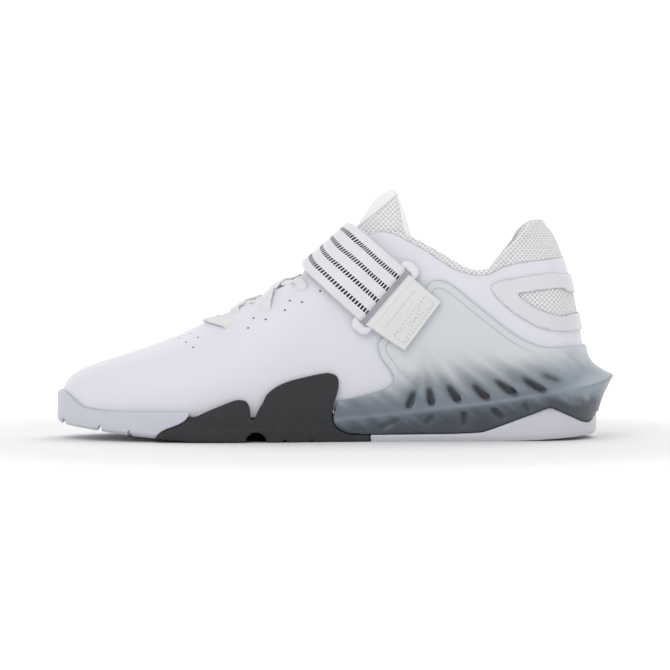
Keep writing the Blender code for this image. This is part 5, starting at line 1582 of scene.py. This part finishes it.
# %% Tongue seams
PIPING_LINE = (
    (0.480, 0.700), (0.530, 0.792), (0.567, 0.860), (0.600, 0.918), (0.637, 0.985), (0.650, 1.010),
)
HEM_LINE = (
    (0.634, 1.012), (0.643, 0.977), (0.6485, 0.943), (0.6520, 0.893), (0.6610, 0.823), (0.680, 0.760),
)
HEM_WIDTH = 0.0027
FRONT_DARK, FRONT_PALE = (0.87, 0.87, 0.89), (0.90, 0.90, 0.92)
points = points_of(tongue)
wing, hem = (line_distance(points, side_line(line, TONGUE_TIP_HEIGHT)) for line in (PIPING_LINE, HEM_LINE))
give_numbers(tongue, wing=-wing, hem=np.abs(hem))
give_flat_map(tongue, points[:, [0, 2]])


def tongue_finish():
    """A smooth grey front, a piped seam, perforated wings and a smooth bound rear edge."""
    made = Finish("Tongue lining dressed", (0.88, 0.88, 0.90), 0.80)
    piping = made.attribute("wing")
    wing = piping.ramp(0.0003, 0.0009) * made.attribute("hem").ramp(HEM_WIDTH, HEM_WIDTH + 0.0004)
    knit, stand = knitted(made)
    front = made.group(GRAIN, {"Grain per metre": 1800.0})["Mottle"].blend(FRONT_DARK, FRONT_PALE)
    seam = piping.between(0.0002, 0.0002, 0.0006) * 0.40
    made.set(Base_Color=seam.blend(wing.blend(front, knit), SEAM_GREY))
    made.bump(stand * wing, MESH_RELIEF)
    return made


settle(tongue, "mesh_lining", tongue_finish().material, "tongue")

# %% [markdown]
# ## The strap
# A flat strap crosses the instep. It is sewn down on the outer side, passes through a plastic loop on
# the inner side and folds back over itself. Four stripes of fine black and white ticks run along it.
# The band is a grid of middle points. Each row is thickened into a flat section with rounded edges.

# %% Strap sizes
STRAP_WALL, STRAP_LIFT = 0.0012, 0.0036
STRAP_CROWN_HEIGHT = 1.0545 * INSTEP_HEIGHT
KEEPER_WALL, RING_ROD, RING_PITCH, RING_OVERHANG = 0.0012, 0.0026, 0.0088, 0.0041
STRAP_CROWN = ((0.465, 0.835), (0.541, 1.000))
STRAP_EDGE = ((0.472, 0.742), (0.587, 0.922))
STRAP_RING = ((0.558, 0.559), (0.643, 0.797))
STRAP_ANCHOR = ((0.611, 0.446), (0.690, 0.687))
KEEPER_FOOT = ((0.645, 0.408), (0.718, 0.640))
STRAP_COLUMNS = 41
RING_OFF = GAP + STRAP_WALL + GAP + RING_ROD / 2
print("the loop's rod runs", round(RING_OFF * 1000, 2), "mm above the upper")

# %% [markdown]
# ### Rows on the side of the shoe
# The strap's edges are read from the side view as short lines, from its front edge to its rear one.
# Points between two such lines are set on the skin, and a spline fills in more rows.

# %% Rows on the side


def table_point(table, v):
    """Side-view x and z between a table's front and rear rows, in metres."""
    front, rear = np.array(table[0]), np.array(table[1])
    point = mix(front, rear, np.asarray(v, float)[..., None])
    return np.stack([along(point[..., 0]), point[..., 1] * STRAP_CROWN_HEIGHT], axis=-1)


def side_run(start, end, side, offs):
    """Rows on one side of the shoe between two side-view lines, offs above the upper."""
    shares = np.linspace(0, 1, len(offs))[:, None, None]
    line = mix(start[None], end[None], shares)
    return on_side(line[..., 0], line[..., 1], side, offs[:, None])


def smooth_rows(rows, per):
    """More rows through the ones given, spaced by a spline."""
    at = np.linspace(0, len(rows) - 1, (len(rows) - 1) * per + 1)
    flat = spline(np.arange(len(rows)), rows.reshape(len(rows), -1), at)
    return flat.reshape(len(at), *rows.shape[1:])


print("anchor of the strap:", table_point(STRAP_ANCHOR, 0.5).round(4))

# %% [markdown]
# ### Under layer of the strap
# The under layer runs from its sewn end over the crown of the instep to the loop. Above the sides it
# leaves the skin and arches over, as a taut band does, on a cubic curve to each side of the crown.

# %% Under layer of the strap


def strap_under(columns):
    """The under layer's middle surface: outer anchor, over the crown, down to the ring."""
    v = np.linspace(0, 1, columns)
    half = STRAP_WALL / 2
    edge, ring, anchor = (table_point(t, v) for t in (STRAP_EDGE, STRAP_RING, STRAP_ANCHOR))
    lift = STRAP_LIFT * (1 - smooth_step(np.linspace(0, 1, 7), 0.30, 1.0)) + GAP + half
    crown_xz = table_point(STRAP_CROWN, v)
    slope = unit(crown_xz[-1] - crown_xz[0])
    depth = 1.5 * STRAP_WALL + GAP
    crown = np.stack([crown_xz[:, 0] + slope[1] * depth, np.zeros(columns),
                      crown_xz[:, 1] - slope[0] * depth], axis=1)
    runs = {}
    for side in (OUTER, INNER):
        run = side_run(edge, ring, side, lift)
        heading = unit(run[0] - run[1])
        span = np.linalg.norm(crown - run[0], axis=1, keepdims=True)
        level = np.array([0.0, float(side), 0.0])
        shares = np.linspace(0, 1, 7)[:, None] + np.zeros(columns)
        arch = bezier(run[0], run[0] + heading * span * 0.33, crown + level * span * 0.42, crown, shares)
        runs[side] = np.concatenate([run[::-1], arch[1:]])
    rise = smooth_step(np.linspace(0, 1, 5), 0.0, 0.5) * (FLANGE_WALL + GAP * 2) + GAP + half
    tail = side_run(ring, anchor, OUTER, rise)
    return np.concatenate([tail[::-1][:-1], runs[OUTER], runs[INNER][::-1][1:]])


ROWS_PER = 5
under = smooth_rows(strap_under(STRAP_COLUMNS), ROWS_PER)
print("rows of the under layer:", len(under))

# %% [markdown]
# ### Folding a band
# At the loop the band turns round the rod through a half circle, and runs back a small gap above
# itself. Each row then gets its thickness, as a closed section with half-round edges.

# %% Folding a band
FOLD_STEPS, EDGE_CORNERS = 15, 5


def folded(under, wall, back_rows, until):
    """Carries a band round the loop's rod at its last row, and back above itself for back_rows rows.
    The space between the layers shrinks from the rod's own to a narrow gap, at the share until."""
    normal = sheet_normals(under)
    if normal[-1].mean(axis=0)[1] > 0:
        normal = -normal
    heading = unit(under[-1] - under[-2])
    radius = RING_ROD / 2 + GAP + wall / 2
    centre = under[-1] + normal[-1] * radius
    turn = np.linspace(0, np.pi, FOLD_STEPS)[1:-1, None, None]
    fold = centre + (heading * np.sin(turn) - normal[-1] * np.cos(turn)) * radius
    fold_normal = normal[-1] * np.cos(turn) - heading * np.sin(turn)
    back = normal[::-1][:back_rows]
    gaps = mix(2 * radius, wall + GAP, smooth_step(np.linspace(0, 1, back_rows), 0.0, until))
    over = under[::-1][:back_rows] + back * gaps[:, None, None]
    return (np.concatenate([under, fold, over]), np.concatenate([normal, fold_normal, -back]))


def flat_sections(middle, normals, wall):
    """A closed section for each row: both faces, with half-round edges between."""
    half = wall / 2
    across = unit(np.gradient(middle, axis=1))
    turn = np.linspace(-np.pi / 2, np.pi / 2, EDGE_CORNERS)[None, :, None]

    def edge(column, way):
        """A half circle round the band's edge, to the side that way gives."""
        return middle[:, column] + (
            way * across[:, column] * (np.cos(turn) - 1) - way * normals[:, column] * np.sin(turn)) * half

    return np.concatenate([
        middle[:, 1:-1] + normals[:, 1:-1] * half, edge(slice(-1, None), 1),
        (middle[:, 1:-1] - normals[:, 1:-1] * half)[:, ::-1], edge(slice(0, 1), -1)], axis=1)


def banded(name, middle, normals, wall):
    """A band's mesh, with its length so far and its share across as two numbers for each point."""
    made = band_piece(name, flat_sections(middle, normals, wall))
    v = np.linspace(0, 1, middle.shape[1])[1:-1]
    across = np.concatenate([v, np.ones(EDGE_CORNERS), v[::-1], np.zeros(EDGE_CORNERS)])
    length, across = np.broadcast_arrays(run_length(middle.mean(axis=1))[:, None], across[None, :])
    give_numbers(made, length=length, across=across)
    wide = np.linalg.norm(np.diff(middle, axis=1), axis=-1).sum(axis=1).mean()
    print(name, "laid flat:", round(float(length[-1, 0]) * 1000), "by", round(float(wide) * 1000), "mm")
    return made


back_rows = len(under) - 9 * ROWS_PER
strap_middle, strap_normals = folded(under, STRAP_WALL, back_rows, 0.35)
strap = banded("strap_band", strap_middle, strap_normals, STRAP_WALL)
FOLD_LENGTH = float(run_length(strap_middle.mean(axis=1))[len(under) + 6])
print("the strap folds back at", round(FOLD_LENGTH, 4), "m")

# %% [markdown]
# ### Stripes of the strap
# The stripes follow the band, so they are drawn from its two numbers: the share across picks the four
# stripes, and the length so far, cut into even steps, makes the ticks. Only the top layer has them.

# %% Strap material
STRIPES = (0.16, 0.385, 0.61, 0.835)
STRIPE_HALF = 0.034
TICK_PITCH, TICK_SHARE, TICK_BLACK = 0.00168, 0.62, (0.004, 0.004, 0.005)


def strap_material():
    """White band, with stripes of black ticks on the layer that lies on top."""
    made = grained("Strap synthetic dressed", (0.79, 0.79, 0.82), 0.60,
                   grain=2400.0, relief=0.00006, mottle=0.05)
    length, across = made.attribute("length"), made.attribute("across")
    stripes = (abs(across - centre) < STRIPE_HALF for centre in STRIPES)
    stripe = functools.reduce(lambda first, second: first.maths("MAXIMUM", second), stripes)
    tick = (length / TICK_PITCH).maths("FRACT") < TICK_SHARE
    mark = stripe * tick * (length > FOLD_LENGTH)
    made.set(Base_Color=mark.blend(made.base(), TICK_BLACK))
    return made


settle(strap, "strap_synthetic", strap_material().material, "strap")

# %% [markdown]
# ### The plastic loop
# A rod bent to a rounded rectangle holds the strap. Its middle line follows the upper's own curve.

# %% Loop
LUG_EXTRA, LOOP_STEPS, LOOP_CORNERS = 0.0024, 160, 16
bar_ends = table_point(STRAP_RING, np.array([0.0, 1.0]))
BAR = unit(bar_ends[1] - bar_ends[0])
HEADING = np.array([BAR[1], -BAR[0]])
BAR_HALF = np.linalg.norm(bar_ends[1] - bar_ends[0]) / 2


def loop_path():
    """A rounded rectangle in the side view, as evenly spaced points."""
    centre = bar_ends.mean(axis=0) + HEADING * RING_PITCH / 2
    half_long, half_wide, corner = BAR_HALF + RING_OVERHANG, RING_PITCH / 2, RING_PITCH / 2 * 0.75
    turn = np.radians(np.array([0, 90, 180, 270])[:, None] + np.linspace(0, 90, 9)[None])
    along_bar = np.array([1, -1, -1, 1])[:, None] * (half_long - corner) + np.cos(turn) * corner
    along_heading = np.array([1, 1, -1, -1])[:, None] * (half_wide - corner) + np.sin(turn) * corner
    ring = centre + along_bar.ravel()[:, None] * BAR + along_heading.ravel()[:, None] * HEADING
    closed = np.vstack([ring, ring[:1]])
    run = run_length(closed)
    even = np.linspace(0, run[-1], LOOP_STEPS + 1)[:-1]
    return np.stack([np.interp(even, run, closed[:, 0]), np.interp(even, run, closed[:, 1])], axis=1)


def loop_rod():
    """The loop's path on the skin, with a round section that widens inwards at the two lugs."""
    path = loop_path()
    middle = on_side(path[:, 0], path[:, 1], INNER, RING_OFF)
    out = middle - on_side(path[:, 0], path[:, 1], INNER)
    run = unit(np.roll(middle, -1, axis=0) - np.roll(middle, 1, axis=0))
    across = unit(np.cross(run, out))
    out = np.cross(across, run)
    turn = np.linspace(0, 2 * np.pi, LOOP_CORNERS, endpoint=False)[:, None, None]
    from_middle = np.abs((path - bar_ends.mean(axis=0)) @ BAR) / BAR_HALF
    lug = smooth_step(from_middle, 0.95, 1.10)[:, None] * LUG_EXTRA
    return (middle + across * lug / 2 + out * np.cos(turn) * RING_ROD / 2
            + across * np.sin(turn) * (RING_ROD + lug) / 2)


settle(ring_piece("strap_loop", loop_rod(), tube=True), "ring_plastic", ring_finish.material, "strap_ring")

# %% [markdown]
# ### The loop's webbing
# A wide white webbing is sewn to the flange of the frame, passes through the loop and comes back down.

# %% Webbing
WEBBING_COLUMNS, WEBBING_ROWS, WEBBING_RIBS = 31, 12, 7000.0


def webbing_under():
    """Rows from the webbing's foot on the flange up to the loop, lifted clear of the frame."""
    v = np.linspace(0.02, 0.98, WEBBING_COLUMNS)
    half = KEEPER_WALL / 2
    base = RING_OFF - RING_ROD / 2 - GAP - half
    top = table_point(STRAP_RING, v) + HEADING * RING_PITCH
    rise = smooth_step(np.linspace(0, 1, WEBBING_ROWS), 0.62, 1.0)
    return side_run(table_point(KEEPER_FOOT, v), top, INNER, mix(FLANGE_WALL + 3 * GAP + half, base, rise))


webbing_rows = smooth_rows(webbing_under(), 4)
web_middle, web_normals = folded(webbing_rows, KEEPER_WALL, len(webbing_rows), 0.5)
webbing = banded("keeper_band", web_middle, web_normals, KEEPER_WALL)
weave = grained("Webbing dressed", (0.81, 0.81, 0.815), 0.8, grain=2000.0, relief=0.00004)
weave.bump((weave.attribute("length") * WEBBING_RIBS).maths("SINE"), 0.00006)
settle(webbing, "webbing", weave.material, "keeper_webbing")

# %% [markdown]
# ### Stitches of the webbing
# A bar of stitches near the fold and a crossed box below it hold the webbing. Each stitch is a small
# capsule, half sunk in the top layer. All are one mesh, worked out together as arrays.

# %% Webbing stitches
STITCH_LENGTH, STITCH_RADIUS, STITCH_PITCH = 0.0013, 0.00026, 0.0021
STITCH_ROWS = (
    ((0.30, 0.12), (0.30, 0.88)), ((0.56, 0.10), (0.56, 0.90)), ((0.90, 0.10), (0.90, 0.90)),
    ((0.56, 0.10), (0.90, 0.10)), ((0.56, 0.90), (0.90, 0.90)), ((0.56, 0.10), (0.90, 0.90)),
    ((0.56, 0.90), (0.90, 0.10)),
)


def read_between(grid, u, v):
    """A grid's values at (u, v), counted in cells: the mean of four corners, weighed by nearness."""
    u, v = (np.clip(at, 0, size - 1.001) for at, size in zip((u, v), grid.shape))
    i, j = u.astype(int), v.astype(int)
    s, t = (share.reshape(share.shape + (1,) * (grid.ndim - 2)) for share in (u - i, v - j))
    return (grid[i, j] * (1 - s) * (1 - t) + grid[i + 1, j] * s * (1 - t)
            + grid[i, j + 1] * (1 - s) * t + grid[i + 1, j + 1] * s * t)


def grid_at(grid, u, v):
    """Points of a grid at shares of its rows and columns."""
    return read_between(grid, np.asarray(u) * (len(grid) - 1.001), np.asarray(v) * (grid.shape[1] - 1.001))


def stitches(name, starts, ends, normals):
    """A small half-sunk capsule from each start to its end, all in one mesh."""
    centre, half = (starts + ends) / 2, (ends - starts) / 2
    across = unit(np.cross(half, normals))
    s = np.linspace(-1, 1, 7)[None, :, None, None]
    turn = np.linspace(0, 2 * np.pi, 6, endpoint=False)[None, None, :, None]
    round_off = np.sqrt(np.clip(1.04 - s**4, 0, 1)) * STITCH_RADIUS
    points = (centre[:, None, None] + half[:, None, None] * s
              + (across[:, None, None] * np.cos(turn) + normals[:, None, None] * np.sin(turn)) * round_off)
    return band_piece(name, points)


def webbing_stitches():
    """Rows of stitches on the layer that lies on top: a bar near the fold, and a crossed box below."""
    top_rows = web_middle[-len(webbing_rows):]
    top_normals = -web_normals[-len(webbing_rows):]
    starts, ends, normals = [], [], []
    for first, second in STITCH_ROWS:
        corners = grid_at(top_rows, *np.array([first, second]).T)
        count = max(2, int(np.linalg.norm(corners[1] - corners[0]) / STITCH_PITCH))
        share = (np.arange(count) + 0.5) / count
        half = STITCH_LENGTH / STITCH_PITCH / count / 2
        for sign, kept in ((-1, starts), (1, ends)):
            at = share + sign * half
            u, v = (mix(first[i], second[i], at) for i in (0, 1))
            normal = grid_at(top_normals, u, v)
            kept.append(grid_at(top_rows, u, v) + normal * (KEEPER_WALL / 2))
            if sign > 0:
                normals.append(normal)
    return stitches("webbing_stitches", *(np.concatenate(part) for part in (starts, ends, normals)))


thread = grained("Pale thread", (0.62, 0.62, 0.60), 0.7, grain=3000.0, relief=0.00002)
settle(webbing_stitches(), "webbing", thread.material)

# %% [markdown]
# ## The laces
# One flat lace crosses the tongue between the eyelets. Each strand rises out of its eyelet, lies over
# the tongue and goes down into the eyelet on the other side. The ground under it is a height map: the
# highest point of upper and tongue in each small cell, smoothed so that the lace bridges hollows.

# %% Height map under the laces
CELL = 0.0010
MAP_START, MAP_SIZE = np.array([-0.085, -0.055]), (115, 110)


def height_map():
    """Highest z in each cell of a level grid, from fine nets of the upper's edge and the tongue."""
    places = np.concatenate([np.linspace(1.30, 2.0, 400), np.linspace(0.0, 0.70, 400)])
    skin = last(places[None, :], np.linspace(0.35, 1.0, 160)[:, None])
    points = np.concatenate([skin.reshape(-1, 3), smooth_rows(tongue_grid(120, 30), 4).reshape(-1, 3)])
    cell = np.round((points[:, :2] - MAP_START) / CELL).astype(int)
    inside = ((cell >= 0) & (cell < np.array(MAP_SIZE))).all(axis=1)
    grid = np.full(MAP_SIZE, -1.0)
    np.maximum.at(grid, (cell[inside, 0], cell[inside, 1]), points[inside, 2])
    for _ in range(3):
        spread = np.maximum.reduce([np.roll(grid, 1, 0), np.roll(grid, -1, 0),
                                    np.roll(grid, 1, 1), np.roll(grid, -1, 1)])
        grid = np.where(grid < 0, spread, grid)
    for _ in range(2):
        grid = (grid + np.roll(grid, 1, 0) + np.roll(grid, -1, 0)
                + np.roll(grid, 1, 1) + np.roll(grid, -1, 1)) / 5
    return grid


GROUND = height_map()


def ground_at(x, y):
    """The height map read between its cells."""
    return read_between(GROUND, (x - MAP_START[0]) / CELL, (y - MAP_START[1]) / CELL)


print("height map", GROUND.shape, "highest", round(float(GROUND.max()), 4))

# %% [markdown]
# ### A strand
# A strand's path is a straight run with a slight bow, laid on the ground and pulled taut over its high
# points. At each end it dips into an eyelet, from over the eyestay or from under it. The section is a
# flat oval with squared sides, turned to lie on the slope below.

# %% Lace strands
LACE_WIDTH, LACE_WALL = 0.0056, 0.0013
LACE_STEPS, LACE_CORNERS = 90, 20
TIP_RADIUS, SLOPE_STEP = 0.0027, 0.0015
EYELET_DEPTH, EYELET_RISE, UNDER_DEPTH = 0.0016, 0.0022, 0.0042
SQUARE_ACROSS, SQUARE_UP = 0.55, 0.8
OVER, UNDER = "over", "under"


def relaxed(values, tight, soft):
    """Pulls a line taut over its high points, then eases its corners."""
    for _ in range(tight):
        values[1:-1] = np.maximum(values[1:-1], (values[:-2] + values[2:]) / 2)
    for _ in range(soft):
        values[1:-1] = (values[:-2] + 2 * values[1:-1] + values[2:]) / 4
    return values


def into_eyelet(path, share, eyelet, way):
    """Bends the end of a path into an eyelet: from above, or sunk under the eyestay."""
    centre, out = eyelet
    if way == UNDER:
        return path - out * UNDER_DEPTH * (1 - smooth_step(share, 0.10, 0.24))[:, None]
    near = np.exp(-(share / 0.045) ** 2)[:, None]
    rise = mix(-EYELET_DEPTH, EYELET_RISE, smooth_step(share, 0.0, 0.06))[:, None]
    return mix(path, centre + out * rise, near)


def squared(value, power):
    """A cosine or sine flattened towards its ends, for an oval with squared sides."""
    return np.sign(value) * np.abs(value) ** power


def strand(first, second, way, bow, lift):
    """Sections of one strand between two eyelets, and its length and share across at each point."""
    t = np.linspace(0, 1, LACE_STEPS)
    x = mix(first[0][0], second[0][0], t) - bow * np.sin(np.pi * t) ** 0.8
    y = mix(first[0][1], second[0][1], t)
    z = relaxed(ground_at(x, y), 30, 5) + lift + LACE_WALL / 2
    path = np.stack([x, y, z], axis=1)
    for share, eyelet in ((t, first), (1 - t, second)):
        path = into_eyelet(path, share, eyelet, way)
    run = unit(np.gradient(path, axis=0))
    slope_x, slope_y = ((ground_at(x + p, y + q) - ground_at(x - p, y - q)) / (2 * SLOPE_STEP)
                        for p, q in ((SLOPE_STEP, 0), (0, SLOPE_STEP)))
    up = relaxed(np.stack([-slope_x, -slope_y, np.ones(LACE_STEPS)], axis=1), 0, 8)
    across = unit(np.cross(up, run))
    up = np.cross(run, across)
    length = run_length(path)
    from_end = np.minimum(length, length[-1] - length)
    tip = np.sqrt(np.clip(1 - np.clip(1 - from_end / TIP_RADIUS, 0, 1) ** 2, 0.04, 1))[:, None, None]
    turn = np.linspace(0, 2 * np.pi, LACE_CORNERS, endpoint=False)[None, :, None]
    flat, high = squared(np.cos(turn), SQUARE_ACROSS), squared(np.sin(turn), SQUARE_UP)
    sections = path[:, None] + (
        across[:, None] * flat * tip * LACE_WIDTH + up[:, None] * high * LACE_WALL) / 2
    return sections, np.stack(np.broadcast_arrays(length[:, None], flat[..., 0] * 0.5 + 0.5), axis=-1)


low = ground_at(np.array([-0.05]), np.array([0.0]))
print("ground over the front of the tongue:", low.round(4))

# %% [markdown]
# ### Threading the laces
# A bar at the front joins the first pair of eyelets. Three crossings follow, each of a lower and an
# upper strand. They go under and over the eyestay by turns. All the strands are one mesh.

# %% Laces
EYELETS = ((0.320, 0.551), (0.388, 0.629), (0.459, 0.722), (0.520, 0.811))
BAR_BOW, BAR_LIFT, CROSS_BOW = 0.0130, 0.0006, 0.0030
CROSSINGS = ((OUTER, INNER, 0.0004), (INNER, OUTER, 0.0018))
LACE_RIBS, LACE_PICKS = 44.0, 6500.0


def eyelets(side):
    """Centre and outward direction of each eyelet on one side."""
    marks = np.array(EYELETS)
    x, z = along(marks[:, 0]), marks[:, 1] * INSTEP_HEIGHT
    centre = on_side(x, z, side)
    return list(zip(centre, unit(on_side(x, z, side, 0.001) - centre)))


def laces():
    """A bar at the front, then crossings that go over and under the eyestay by turns."""
    holes = {side: eyelets(side) for side in (INNER, OUTER)}
    runs = [strand(holes[INNER][0], holes[OUTER][0], OVER, BAR_BOW, BAR_LIFT)]
    for row in range(len(EYELETS) - 1):
        way = (UNDER, OVER)[row % 2]
        for near, far, lift in CROSSINGS:
            runs.append(strand(holes[near][row], holes[far][row + 1], way, CROSS_BOW, lift))
    sections, numbers = (np.array(part) for part in zip(*runs))
    made = band_piece("lace_strands", sections)
    give_numbers(made, length=numbers[..., 0], across=numbers[..., 1])
    print("lace runs, in millimetres:", *(numbers[:, -1, 0, 0] * 1000).round().astype(int))
    return made


def lace_weave():
    """Ribs along the lace crossed by fine picks, as relief."""
    made = grained("Lace weave dressed", (0.89, 0.89, 0.90), 0.85, grain=2500.0, relief=0.00004)
    ribs = (made.attribute("across") * LACE_RIBS).maths("SINE")
    made.bump(ribs * (made.attribute("length") * LACE_PICKS).maths("SINE"), 0.00012)
    return made


settle(laces(), "lace_weave", lace_weave().material, "laces")

# %% [markdown]
# ### The insole
# The insole lies on the sole inside the shoe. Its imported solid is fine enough, so only its finish is new.

# %% Insole
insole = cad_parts["insole"]
insole.data.materials.clear()
insole.data.materials.append(lining_finish.material)
print("insole dressed")
